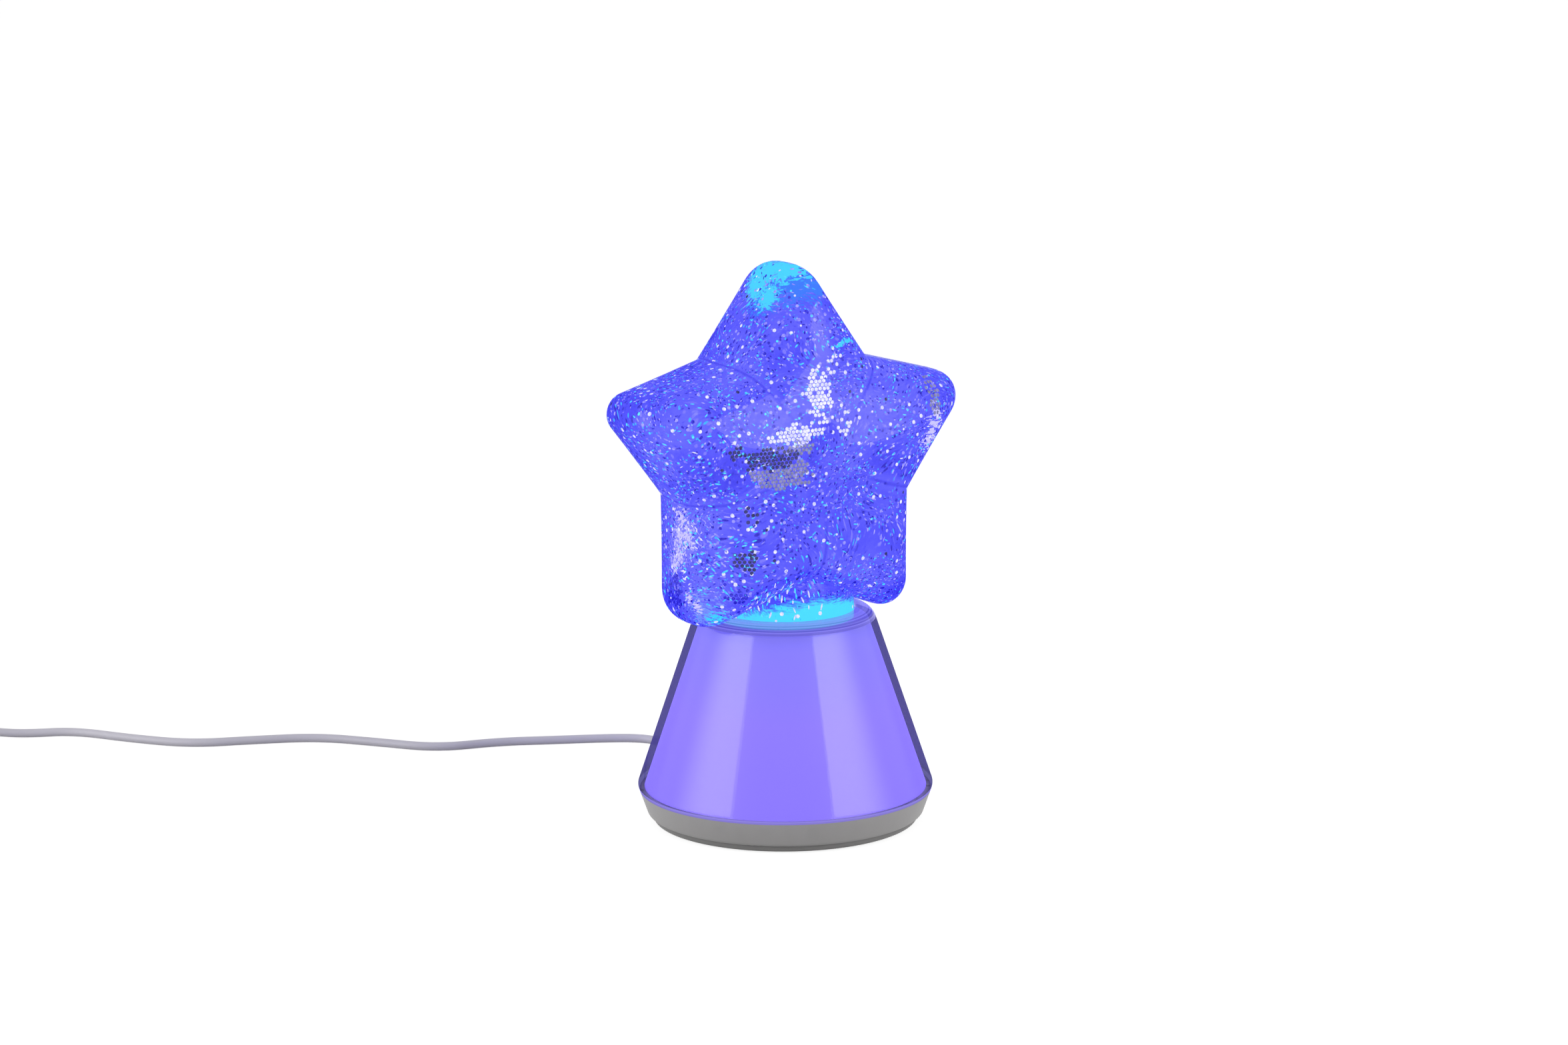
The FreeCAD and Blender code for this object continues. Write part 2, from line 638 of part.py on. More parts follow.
# Cap of the vessel: a plug with a groove for the seal ring and a boss for the stirrer's pin.
nodes.append(turned("vessel_cap", [
    ("0", "cap_bottom"),
    ("cap_flange_radius", "cap_bottom"),
    ("cap_flange_radius", "neck_end_height"),
    ("plug_outer", "neck_end_height"),
    ("plug_outer", "seal_middle - seal_wire - groove_slack"),
    ("neck_inner - 2 * seal_wire - groove_slack", "seal_middle - seal_wire - groove_slack"),
    ("neck_inner - 2 * seal_wire - groove_slack", "seal_middle + seal_wire + groove_slack"),
    ("plug_outer", "seal_middle + seal_wire + groove_slack"),
    ("plug_outer", "plug_top"),
    ("plug_outer - cap_plug_wall", "plug_top"),
    ("plug_outer - cap_plug_wall", "neck_end_height"),
    ("pin_boss_radius", "neck_end_height"),
    ("pin_boss_radius", "boss_top"),
    ("pin_radius", "boss_top"),
    ("pin_radius", "neck_end_height"),
    ("0", "neck_end_height"),
]))
nodes.append(solid("Torus", "seal_ring", "0", "0", "seal_middle",
                   Radius1="neck_inner - seal_wire", Radius2="seal_wire"))

# Stirrer: four blades on a hub that turns on a steel pin and holds two magnets.
nodes.append(rod("stirrer_pin", "pin_radius", "neck_end_height", "pin_length"))
stirrer_parts = [
    rod("stirrer_hub", "hub_radius", "hub_bottom", "hub_height"),
    rod("stirrer_sleeve", "blade_root + blade_thick / 2", "hub_top", "blade_height"),
]
for step, (across, back, angle) in enumerate(ring_places("1", "blade_count", 0)):
    blade = solid("Box", "stirrer_blade%d" % step, "(%s) * blade_thick / 2" % back,
                  "-(%s) * blade_thick / 2" % across, "hub_top",
                  Length="blade_reach", Width="blade_thick", Height="blade_height")
    blade.Placement.Rotation = Rotation(Vector(0, 0, 1), angle)
    stirrer_parts.append(blade)
stirrer_whole = joined("stirrer_whole", stirrer_parts)
stirrer_cutters = holes("stirrer_magnet_pocket", "magnet_circle", "magnet_count", 0,
                        "magnet_radius", "hub_bottom", "magnet_height")
stirrer_cutters.append(rod("stirrer_bore", "pin_radius + bearing_gap", "hub_bottom",
                           "hub_height + blade_height"))
nodes.append(cut("stirrer", stirrer_whole, stirrer_cutters))
nodes.append(grouped("stirrer_magnets", holes("stirrer_magnet", "magnet_circle", "magnet_count", 0,
                                              "magnet_radius", "hub_bottom", "magnet_height")))
nodes.append(cut("pin_keeper",
                 rod("keeper_disc", "keeper_radius", "blade_top + hub_lift", "keeper_height"),
                 [rod("keeper_bore", "pin_radius", "blade_top + hub_lift", "keeper_height")]))

# Drive under the cap: a magnet carrier on the motor's shaft.
carrier_cutters = holes("drive_magnet_pocket", "magnet_circle", "magnet_count", 0,
                        "magnet_radius", "carrier_top - magnet_height", "magnet_height")
carrier_cutters.append(rod("carrier_bore", "shaft_radius", "carrier_bottom", "carrier_height"))
nodes.append(cut("magnet_carrier",
                 rod("carrier_disc", "carrier_radius", "carrier_bottom", "carrier_height"),
                 carrier_cutters))
nodes.append(grouped("drive_magnets", holes("drive_magnet", "magnet_circle", "magnet_count", 0,
                                            "magnet_radius", "carrier_top - magnet_height",
                                            "magnet_height")))
nodes.append(rod("motor_shaft", "shaft_radius", "motor_top + motor_nose_height - shaft_depth",
                 "carrier_top - motor_top - motor_nose_height + shaft_depth"))
motor_whole = joined("motor_whole", [
    rod("motor_can", "motor_radius", "motor_bottom", "motor_height"),
    rod("motor_nose", "motor_nose_radius", "motor_top", "motor_nose_height"),
])
motor_bore = rod("motor_bore", "shaft_radius + bearing_gap",
                 "motor_top + motor_nose_height - shaft_depth - hub_lift", "shaft_depth + hub_lift")
nodes.append(cut("motor", motor_whole, [motor_bore]))

# Motor cup with its flange, and the tube that carries it above the bottom plate.
cup_turned = turned("cup_turned", [
    ("vent_radius", "tube_top"),
    ("flange_radius", "tube_top"),
    ("flange_radius", "motor_bottom"),
    ("cup_outer", "motor_bottom"),
    ("cup_outer", "neck_board_bottom"),
    ("cup_inner", "neck_board_bottom"),
    ("cup_inner", "motor_bottom"),
    ("vent_radius", "motor_bottom"),
])
nodes.append(cut("motor_cup", cup_turned, holes(
    "cup_screw_way", "mount_circle", "mount_screw_count", TUBE_SCREW_TURN,
    "screw_radius + screw_slack", "tube_top", "bracket_floor")))
tube_turned = turned("tube_turned", [
    ("tube_radius - tube_wall", "plate_top"),
    ("foot_flange_radius", "plate_top"),
    ("foot_flange_radius", "plate_top + flange_thick"),
    ("tube_radius", "plate_top + flange_thick"),
    ("tube_radius", "tube_top - flange_thick"),
    ("flange_radius", "tube_top - flange_thick"),
    ("flange_radius", "tube_top"),
    ("tube_radius - tube_wall", "tube_top"),
])
tube_cutters = holes("tube_foot_way", "mount_circle", "mount_screw_count", TUBE_SCREW_TURN,
                     "screw_radius + bearing_gap", "plate_top", "flange_thick")
tube_cutters += holes("tube_head_way", "mount_circle", "mount_screw_count", TUBE_SCREW_TURN,
                      "screw_radius + bearing_gap", "tube_top - flange_thick", "flange_thick")
nodes.append(cut("carrying_tube", tube_turned, tube_cutters))
nodes.append(screws("motor_screws", "mount_circle", "mount_screw_count", TUBE_SCREW_TURN,
                    "motor_bottom", 1, "mount_screw_length"))


def light_diodes(label, circle, count, bottom):
    """Light diodes on a circle, each turned to face away from the axis."""
    made = []
    for step, (across, back, angle) in enumerate(ring_places("1", count, 0)):
        near = "(%s - diode_length / 2)" % circle
        diode = solid("Box", "%s%d" % (label, step),
                      "%s * (%s) + (%s) * diode_width / 2" % (near, across, back),
                      "%s * (%s) - (%s) * diode_width / 2" % (near, back, across), bottom,
                      Length="diode_length", Width="diode_width", Height="diode_height")
        diode.Placement.Rotation = Rotation(Vector(0, 0, 1), angle)
        made.append(diode)
    return grouped(label, made)


def board_ring(label, radius, hole, bottom):
    """A round circuit board with a hole."""
    return cut(label, rod(label + "_disc", radius, bottom, "board_thick"),
               [rod(label + "_hole", hole, bottom, "board_thick")])


# Light boards: one lights the neck and the star, one lights the opal cone.
nodes.append(board_ring("neck_light_board", "neck_board_radius", "neck_board_hole", "neck_board_bottom"))
nodes.append(light_diodes("neck_diodes", "neck_diode_circle", "neck_diode_count", "neck_board_top"))
nodes.append(board_ring("cone_light_board", "base_board_radius", "base_board_hole", "shelf_top"))
nodes.append(light_diodes("cone_diodes", "base_diode_circle", "base_diode_count",
                          "shelf_top + board_thick"))

# Reflector ring between the upper board and the cap: it keeps the two lights apart.
nodes.append(turned("reflector_ring", [
    ("neck_board_radius - baffle_wall", "neck_board_top"),
    ("neck_board_radius", "neck_board_top"),
    ("neck_board_radius", "cap_bottom"),
    ("neck_board_radius - baffle_wall", "cap_bottom"),
]))

# Driver board with its socket, chip and choke, on two posts at the back.
nodes.append(block("driver_board", "driver_length", "driver_width", "board_thick",
                   "0", "driver_place", "driver_bottom"))
DRIVER_FACE = "driver_bottom + board_thick"
nodes.append(grouped("driver_parts", [
    block("driver_socket", "driver_width / 2", "driver_width / 2", "diode_length / 2",
          "-driver_length / 4 - diode_length / 2", "driver_place", DRIVER_FACE),
    block("driver_chip", "driver_width / 2", "diode_length", "board_thick / 2",
          "0", "driver_place", DRIVER_FACE),
    rod("driver_choke", "diode_width", DRIVER_FACE, "diode_length / 2",
        "driver_length / 4 + diode_length / 2", "driver_place"),
]))


# The lead. Its points are given in the lead's own plan, which is turned so that the lead runs
# off to the left; each is (right, back, height of the cord's middle).
LEAD_TURN = -30
LEAD_FRAME = Placement(Vector(0, 0, 0), Rotation(Vector(0, 0, 1), LEAD_TURN))
FLOOR_LINE = number("cord_radius")
SWITCH_LINE = number("switch_height") / 2
SWITCH_MIDDLE = (-390, 129.2)
SWITCH_FRONT = SWITCH_MIDDLE[0] + number("switch_length") / 2
SWITCH_END = SWITCH_MIDDLE[0] - number("switch_length") / 2
COIL_START = (-460, 129.2)
PLUG_START = -431
PLUG_LINE = number("plug_height") / 2

relief_tip = LEAD_FRAME.inverse().multVec(Vector(0, number("relief_end"), number("exit_height")))
lead_points = [
    relief_tip,
    Vector(-43.3, 75, 6.1),
    Vector(-47, 90, 3.2),
    Vector(-48, 106.4, FLOOR_LINE),
    Vector(-53.9, 116.6, FLOOR_LINE),
    Vector(-64.1, 122.5, FLOOR_LINE),
    Vector(-80, 122.3, FLOOR_LINE),
    Vector(-101, 119.6, FLOOR_LINE),
    Vector(-125, 117.2, FLOOR_LINE),
    Vector(-151, 107, FLOOR_LINE),
    Vector(-178, 117.6, FLOOR_LINE),
    Vector(-205, 127, FLOOR_LINE),
    Vector(-233, 122.4, FLOOR_LINE),
    Vector(-259, 116.6, FLOOR_LINE),
    Vector(-286, 126, FLOOR_LINE),
    Vector(-314, 140, FLOOR_LINE),
    Vector(-333, 136, FLOOR_LINE),
    Vector(-344, 131.4, 3.4),
    Vector(-355.5, 129.2, SWITCH_LINE),
    Vector(SWITCH_FRONT, SWITCH_MIDDLE[1], SWITCH_LINE),
]
run_points = [
    Vector(SWITCH_END, SWITCH_MIDDLE[1], SWITCH_LINE),
    Vector(-423, 129.2, SWITCH_LINE),
    Vector(-436, 129.5, 3.2),
    Vector(-449, 129.2, FLOOR_LINE),
    Vector(COIL_START[0], COIL_START[1], FLOOR_LINE),
]


def rounded_path(points, label):
    """Straight runs joined by tangent arcs, each as large as its two runs allow."""
    edges = []
    radii = []
    start = points[0]
    for before, corner, after in zip(points, points[1:], points[2:]):
        to_before = (before - corner).normalize()
        to_after = (after - corner).normalize()
        turn = math.pi - to_before.getAngle(to_after)
        trim = 0.45 * min((before - corner).Length, (after - corner).Length)
        radius = trim / math.tan(turn / 2)
        radii.append(radius)
        arc_start = corner + to_before * trim
        arc_end = corner + to_after * trim
        inward = (to_before + to_after).normalize()
        middle = corner + inward * (math.hypot(trim, radius) - radius)
        edges.append(Part.LineSegment(start, arc_start).toShape())
        edges.append(Part.Arc(arc_start, middle, arc_end).toShape())
        start = arc_end
    edges.append(Part.LineSegment(start, points[-1]).toShape())
    rounded = ", ".join("%.0f" % radius for radius in radii)
    print("%s: arc radii %s mm, least %.1f cord diameters" %
          (label, rounded, min(radii) / (2 * number("cord_radius"))))
    return Part.Wire(edges)


def cord_along(label, path):
    """A cord solid along a path, with its volume set against section times length."""
    first = path.OrderedEdges[0]
    start = first.valueAt(first.FirstParameter)
    heading = first.tangentAt(first.FirstParameter)
    section = Part.Wire([Part.makeCircle(number("cord_radius"), start, heading)])
    cord = doc.addObject("Part::Feature", label)
    cord.Shape = path.makePipeShell([section], True, False)
    cord.Placement = LEAD_FRAME
    expected = math.pi * number("cord_radius") ** 2 * path.Length
    print("%s: length %.1f mm, volume %.1f mm3, section times length %.1f mm3" %
          (label, path.Length, cord.Shape.Volume, expected))
    nodes.append(cord)


def arc_from(start, heading, end):
    """The arc that leaves a point along a heading and reaches an end point."""
    chord = end - start
    aside = chord - heading * chord.dot(heading)
    if aside.Length < 1e-6:
        return Part.LineSegment(start, end)
    inward = aside.normalize()
    radius = chord.Length ** 2 / (2 * chord.dot(inward))
    middle = start + inward * radius
    half_way = ((start - middle) + (end - middle)).normalize()
    return Part.Arc(start, middle + half_way * radius, end)


def biarc(start, heading, end, end_heading):
    """Two arcs that join two points with the given headings."""
    chord = end - start
    both = heading + end_heading
    along = chord.dot(both)
    spread = 2 * (1 - heading.dot(end_heading))
    reach = (-along + math.sqrt(along ** 2 + spread * chord.dot(chord))) / spread
    joint = (start + heading * reach + end - end_heading * reach) * 0.5
    second = arc_from(end, end_heading * -1, joint)
    mirrored = Part.Arc(joint, second.value((second.FirstParameter + second.LastParameter) / 2), end)
    return [arc_from(start, heading, joint).toShape(), mirrored.toShape()]


# Coil: half turns that draw in on the table, climb one layer in the innermost half turn, and
# widen again on top. A short straight end at either side meets the rest of the lead.
def coil_stations():
    """Points, headings and half turn middles of the coil's centre line."""
    low_arcs = int(number("coil_low_arcs"))
    high_arcs = int(number("coil_high_arcs"))
    half_pitch = number("coil_pitch") / 2
    radii = [number("coil_outer_radius") - half_pitch * step for step in range(low_arcs + 1)]
    radii += [radii[low_arcs] + half_pitch * (step + 1) for step in range(high_arcs)]
    back = COIL_START[1]
    across = COIL_START[0] - 2 * number("cord_radius")
    stations = []
    for step, radius in enumerate(radii):
        outward = -1 if step % 2 == 0 else 1
        middle = back + outward * radius
        stations.append((across, middle, radius, outward, step))
        back = middle + outward * radius
    return stations, low_arcs, back


def coil_point(station, share, low_arcs):
    """A point and heading of the coil at a share of one half turn."""
    across, middle, radius, outward, step = station
    rise = number("coil_layer_rise")
    angle = math.pi * (share - 0.5) if outward > 0 else math.pi * (share + 0.5)
    lift = 0
    slope = 0
    if step == low_arcs:
        lift = rise * (share - math.sin(2 * math.pi * share) / (2 * math.pi))
        slope = rise * (1 - math.cos(2 * math.pi * share)) / (math.pi * radius)
    if step > low_arcs:
        lift = rise
    point = Vector(across + radius * math.cos(angle), middle + radius * math.sin(angle), FLOOR_LINE + lift)
    heading = Vector(-math.sin(angle), math.cos(angle), slope).normalize()
    return point, heading


def coil_path():
    """The coil's centre line as biarcs of a quarter turn between its stations."""
    stations, low_arcs, back = coil_stations()
    start = Vector(COIL_START[0], COIL_START[1], FLOOR_LINE)
    edges = [Part.LineSegment(start, coil_point(stations[0], 0, low_arcs)[0]).toShape()]
    for station in stations:
        for quarter in (0, 0.5):
            first, heading = coil_point(station, quarter, low_arcs)
            last, last_heading = coil_point(station, quarter + 0.5, low_arcs)
            edges += biarc(first, heading, last, last_heading)
    last, last_heading = coil_point(stations[-1], 1, low_arcs)
    edges.append(Part.LineSegment(last, last + last_heading * 2 * number("cord_radius")).toShape())
    return Part.Wire(edges)


def least_self_gap(path):
    """Least distance between stretches of the path that aren't neighbours, less the cord."""
    points = path.discretize(Number=900)
    step = path.Length / 900
    skip = int(math.pi * number("coil_outer_radius") / 2 / step)
    least = 1000
    for index, point in enumerate(points):
        for other in points[index + skip:]:
            least = min(least, point.distanceToPoint(other))
    return least - 2 * number("cord_radius")


coil = coil_path()
cord_along("cord_lead", rounded_path(lead_points, "cord_lead"))
cord_along("cord_run", rounded_path(run_points, "cord_run"))
cord_along("cord_coil", coil)
print("cord_coil: least gap to itself %.2f mm" % least_self_gap(coil))
coil_last = coil.OrderedEdges[-1]
coil_end = coil_last.valueAt(coil_last.LastParameter)
tail_points = [
    coil_end,
    coil_end + Vector(8, 0, 0),
    Vector(PLUG_START - 10, coil_end.y, PLUG_LINE),
    Vector(PLUG_START, coil_end.y + 0.3, PLUG_LINE),
]
cord_along("cord_tail", rounded_path(tail_points, "cord_tail"))


def lay_in_lead_frame(label, base, across, back):
    """Copy a piece modelled about its own middle to its place on the lead."""
    laid = doc.addObject("Part::Refine", label)
    laid.Source = base
    laid.Placement = LEAD_FRAME.multiply(Placement(Vector(across, back, 0), Rotation()))
    return laid


# Switch in the lead: two half shells, held by two screws, round a rocker on a pin.
SWITCH_SPLIT = "switch_height / 2"


def rounded_block(label, length, width, height, bottom, corner):
    """A box whose upright edges are rounded, about its own middle."""
    box = block(label + "_box", length, width, height, "0", "0", bottom)
    doc.recompute()
    upright = []
    for index, edge in enumerate(box.Shape.Edges):
        direction = edge.tangentAt(edge.FirstParameter)
        if abs(direction.z) > 0.9:
            upright.append((index + 1, number(corner), number(corner)))
    rounded = doc.addObject("Part::Fillet", label)
    rounded.Base = box
    rounded.Edges = upright
    return rounded


switch_posts = [rod("switch_post_left", "switch_post_radius", "switch_wall",
                    SWITCH_SPLIT + " - switch_wall", "-switch_screw_place"),
                rod("switch_post_right", "switch_post_radius", "switch_wall",
                    SWITCH_SPLIT + " - switch_wall", "switch_screw_place")]
low_shell = cut("switch_low_shell",
                rounded_block("switch_low", "switch_length", "switch_width", SWITCH_SPLIT, "0",
                              "switch_corner"),
                [rounded_block("switch_low_room", "switch_length - 2 * switch_wall",
                               "switch_width - 2 * switch_wall", SWITCH_SPLIT, "switch_wall",
                               "switch_corner - switch_wall")])
switch_screw_ways = []
for side, across in (("left", "-switch_screw_place"), ("right", "switch_screw_place")):
    switch_screw_ways.append(rod("switch_head_way_" + side, "switch_screw_head + screw_slack", "0",
                                 "switch_screw_head_height + seat_gap", across))
    switch_screw_ways.append(rod("switch_shank_way_" + side, "switch_screw_radius + screw_slack", "0",
                                 SWITCH_SPLIT, across))
switch_base = cut("switch_base_piece", joined("switch_low_whole", [low_shell] + switch_posts),
                  switch_screw_ways)
nodes.append(lay_in_lead_frame("switch_base", switch_base, *SWITCH_MIDDLE))

high_shell = cut("switch_high_shell",
                 rounded_block("switch_high", "switch_length", "switch_width", SWITCH_SPLIT,
                               SWITCH_SPLIT, "switch_corner"),
                 [rounded_block("switch_high_room", "switch_length - 2 * switch_wall",
                                "switch_width - 2 * switch_wall", SWITCH_SPLIT + " - switch_wall",
                                SWITCH_SPLIT, "switch_corner - switch_wall")])
high_posts = [rod("high_post_left", "switch_post_radius", SWITCH_SPLIT,
                  SWITCH_SPLIT + " - switch_wall / 2", "-switch_screw_place"),
              rod("high_post_right", "switch_post_radius", SWITCH_SPLIT,
                  SWITCH_SPLIT + " - switch_wall / 2", "switch_screw_place")]
LUG_PLACE = "rocker_width / 2 + rocker_side_gap + rocker_lug_thick / 2"
rocker_lugs = [block("rocker_lug_front", "4 * rocker_pin_radius", "rocker_lug_thick",
                     SWITCH_SPLIT + " - switch_wall / 2", "0", "-(%s)" % LUG_PLACE, SWITCH_SPLIT),
               block("rocker_lug_back", "4 * rocker_pin_radius", "rocker_lug_thick",
                     SWITCH_SPLIT + " - switch_wall / 2", "0", LUG_PLACE, SWITCH_SPLIT)]
pin_way = solid("Cylinder", "rocker_pin_way", "0", "switch_width / 2 - switch_wall",
                "rocker_pin_height", Radius="rocker_pin_radius + bearing_gap",
                Height="switch_width - 2 * switch_wall")
pin_way.Placement.Rotation = Rotation(Vector(1, 0, 0), 90)
rocker_way = block("rocker_way", "rocker_length + 2 * rocker_gap", "rocker_width + 2 * rocker_side_gap",
                   "switch_height", "0", "0", SWITCH_SPLIT)
pilots = [rod("switch_pilot_left", "switch_screw_radius + bearing_gap", SWITCH_SPLIT,
              "switch_screw_length + switch_wall - " + SWITCH_SPLIT, "-switch_screw_place"),
          rod("switch_pilot_right", "switch_screw_radius + bearing_gap", SWITCH_SPLIT,
              "switch_screw_length + switch_wall - " + SWITCH_SPLIT, "switch_screw_place")]
switch_cover = cut("switch_cover_piece", joined("switch_high_whole", [high_shell] + high_posts + rocker_lugs),
                   [pin_way, rocker_way] + pilots)
nodes.append(lay_in_lead_frame("switch_cover", switch_cover, *SWITCH_MIDDLE))

switch_screw_pair = []
for side, across in (("left", "-switch_screw_place"), ("right", "switch_screw_place")):
    head = rod("switch_head_" + side, "switch_screw_head", "seat_gap", "switch_screw_head_height", across)
    shank = rod("switch_shank_" + side, "switch_screw_radius", "seat_gap + switch_screw_head_height",
                "switch_screw_length", across)
    switch_screw_pair.append(joined("switch_screw_" + side, [head, shank]))
nodes.append(lay_in_lead_frame("switch_screws", grouped("switch_screw_pair", switch_screw_pair),
                               *SWITCH_MIDDLE))

# Rocker, tipped to the side that switches the lamp on.
rocker_body = block("rocker_body", "rocker_length", "rocker_width", "rocker_height + rocker_depth",
                    "0", "0", "rocker_pin_height - rocker_depth")
rocker_pin = solid("Cylinder", "rocker_pin", "0", "rocker_pin_length / 2", "rocker_pin_height",
                   Radius="rocker_pin_radius", Height="rocker_pin_length")
rocker_pin.Placement.Rotation = Rotation(Vector(1, 0, 0), 90)
rocker_level = joined("rocker_level", [rocker_body, rocker_pin])
rocker = lay_in_lead_frame("switch_rocker", rocker_level, *SWITCH_MIDDLE)
rocker_axis_place = Vector(0, 0, number("rocker_pin_height"))
tilt = Rotation(Vector(0, 1, 0), number("rocker_tilt"))
rocker.Placement = rocker.Placement.multiply(Placement(rocker_axis_place - tilt.multVec(rocker_axis_place), tilt))
nodes.append(rocker)

# Plug: a soft sleeve, a rounded grip and a sheet metal shell round a contact tongue.
PLUG_BACK = coil_end.y + 0.3
grip_start = number("plug_relief_length")
grip_end = grip_start + number("plug_length")
plug_sleeve = solid("Cone", "plug_sleeve", "0", "0", "plug_height / 2",
                    Radius1="cord_radius + relief_bead", Radius2="plug_height / 2 - relief_bead",
                    Height="plug_relief_length")
plug_sleeve.Placement.Rotation = Rotation(Vector(0, 1, 0), 90)
grip_box = block("plug_grip_box", "plug_length", "plug_width", "plug_height",
                 "plug_relief_length + plug_length / 2", "0", "0")
doc.recompute()
grip_edges = []
for index, edge in enumerate(grip_box.Shape.Edges):
    if abs(edge.tangentAt(edge.FirstParameter).x) > 0.9:
        grip_edges.append((index + 1, number("plug_corner"), number("plug_corner")))
grip = doc.addObject("Part::Fillet", "plug_grip")
grip.Base = grip_box
grip.Edges = grip_edges
nodes.append(lay_in_lead_frame("plug_body", joined("plug_whole", [grip, plug_sleeve]),
                               PLUG_START, PLUG_BACK))
SHELL_MIDDLE = "plug_relief_length + plug_length + shell_length / 2"
SHELL_BOTTOM = "plug_height / 2 - shell_height / 2"
plug_shell = cut("plug_shell_piece",
                 block("shell_outside", "shell_length", "shell_width", "shell_height",
                       SHELL_MIDDLE, "0", SHELL_BOTTOM),
                 [block("shell_room", "shell_length", "shell_width - 2 * shell_wall",
                        "shell_height - 2 * shell_wall", SHELL_MIDDLE, "0",
                        SHELL_BOTTOM + " + shell_wall")])
nodes.append(lay_in_lead_frame("plug_shell", plug_shell, PLUG_START, PLUG_BACK))
plug_tongue = block("plug_tongue_piece", "shell_length - 2 * shell_wall", "shell_width - 2 * shell_wall",
                    "tongue_height", SHELL_MIDDLE + " - shell_wall", "0", SHELL_BOTTOM + " + shell_wall")
nodes.append(lay_in_lead_frame("plug_tongue", plug_tongue, PLUG_START, PLUG_BACK))

doc.recompute()

# Every piece is checked before any file is written.
faults = []
for item in doc.Objects:
    if "Invalid" in item.State or "Error" in item.State:
        faults.append("%s is %s" % (item.Label, item.State))
for node in nodes:
    if node.Shape.isNull() or not node.Shape.isValid() or not node.Shape.Solids:
        faults.append("%s has no valid solid" % node.Label)
if faults:
    raise RuntimeError("; ".join(faults))
os.makedirs("parts", exist_ok=True)
for node in nodes:
    node.Shape.exportStep("parts/%s.step" % node.Label)
print("%d pieces written" % len(nodes))
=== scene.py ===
import math

import bmesh
import bpy
from mathutils import Matrix, Quaternion, Vector


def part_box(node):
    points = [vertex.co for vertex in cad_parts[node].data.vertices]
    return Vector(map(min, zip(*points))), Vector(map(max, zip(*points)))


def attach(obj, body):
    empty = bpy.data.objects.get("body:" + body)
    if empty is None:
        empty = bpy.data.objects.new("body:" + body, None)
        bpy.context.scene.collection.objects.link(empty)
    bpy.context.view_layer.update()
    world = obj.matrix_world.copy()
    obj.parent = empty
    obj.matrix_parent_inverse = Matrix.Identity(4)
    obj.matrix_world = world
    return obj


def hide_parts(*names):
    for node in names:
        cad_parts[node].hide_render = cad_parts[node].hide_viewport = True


# Star glitter lamp, in metres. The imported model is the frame: the table is at zero height, the
# lamp's axis is upright, the star faces the front, -Y, and the lead leaves at the back, +Y.
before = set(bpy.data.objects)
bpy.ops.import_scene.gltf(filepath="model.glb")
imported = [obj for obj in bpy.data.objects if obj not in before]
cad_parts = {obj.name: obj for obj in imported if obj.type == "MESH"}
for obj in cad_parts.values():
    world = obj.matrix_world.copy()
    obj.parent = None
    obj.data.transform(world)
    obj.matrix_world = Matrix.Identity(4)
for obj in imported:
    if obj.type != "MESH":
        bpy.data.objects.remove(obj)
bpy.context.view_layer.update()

# Camera: in front of the lamp and to its left, a little above it, with a long lens that is
# held very slightly off level, as in the photograph.
CAMERA_AZIMUTH = math.radians(-30)
CAMERA_RISE = math.radians(11.432)
CAMERA_ROLL = math.radians(0.306)
CAMERA_DISTANCE = 1.6
CAMERA_AIM = Vector((0, 0, 0.12246))
CAMERA_LENS = 91.51
CAMERA_SIGHT = 50


def placed(name, data):
    """A new object in the scene, at the world's origin."""
    piece = bpy.data.objects.new(name, data)
    bpy.context.scene.collection.objects.link(piece)
    return piece


camera = placed("camera", bpy.data.cameras.new("camera"))
camera.data.lens = CAMERA_LENS
camera.data.clip_end = CAMERA_SIGHT
bpy.context.scene.camera = camera
camera_back = Vector((
    math.sin(CAMERA_AZIMUTH) * math.cos(CAMERA_RISE),
    -math.cos(CAMERA_AZIMUTH) * math.cos(CAMERA_RISE),
    math.sin(CAMERA_RISE),
))
camera.location = CAMERA_AIM + camera_back * CAMERA_DISTANCE
camera.rotation_mode = "QUATERNION"
camera.rotation_quaternion = ((-camera_back).to_track_quat("-Z", "Y")
                              @ Quaternion((0, 0, 1), -CAMERA_ROLL))


# Node trees: short ways to add a node, or a common group of nodes, that every section below
# uses. A value is either a plain one or another node's output.
WHITE = (1, 1, 1, 1)


def active(sockets, name):
    """The socket that carries a name in the node's present mode, if there is one."""
    return next((socket for socket in sockets if socket.name == name and socket.enabled), None)


def fill(socket, value):
    """Give a socket a plain value, or link another node's output to it."""
    if isinstance(value, bpy.types.NodeSocket):
        socket.id_data.links.new(value, socket)
    else:
        socket.default_value = value


def linked(tree, kind, *inputs, **named):
    """A new node: first its settings and inputs by name, then the inputs given in order.

    The kind of a shader node is given without the ShaderNode that its full name begins with."""
    node = tree.nodes.new(kind if "Node" in kind else "ShaderNode" + kind)
    for name, value in named.items():
        socket = active(node.inputs, name.replace("_", " "))
        if socket is None:
            setattr(node, name, value)
        else:
            fill(socket, value)
    for socket, value in zip(node.inputs, inputs):
        fill(socket, value)
    return node


def tree_of(values):
    """The tree of the outputs among some values."""
    return next(value.id_data for value in values if isinstance(value, bpy.types.NodeSocket))


def maths(operation, *values):
    """A number worked out of others."""
    return linked(tree_of(values), "Math", *values, operation=operation).outputs[0]


def vectors(operation, *values):
    """A vector, or a length, worked out of others."""
    node = linked(tree_of(values), "VectorMath", operation=operation)
    for index, value in enumerate(values):
        fill(node.inputs["Scale" if operation == "SCALE" and index else index], value)
    return node.outputs["Value" if operation in ("LENGTH", "DISTANCE") else "Vector"]


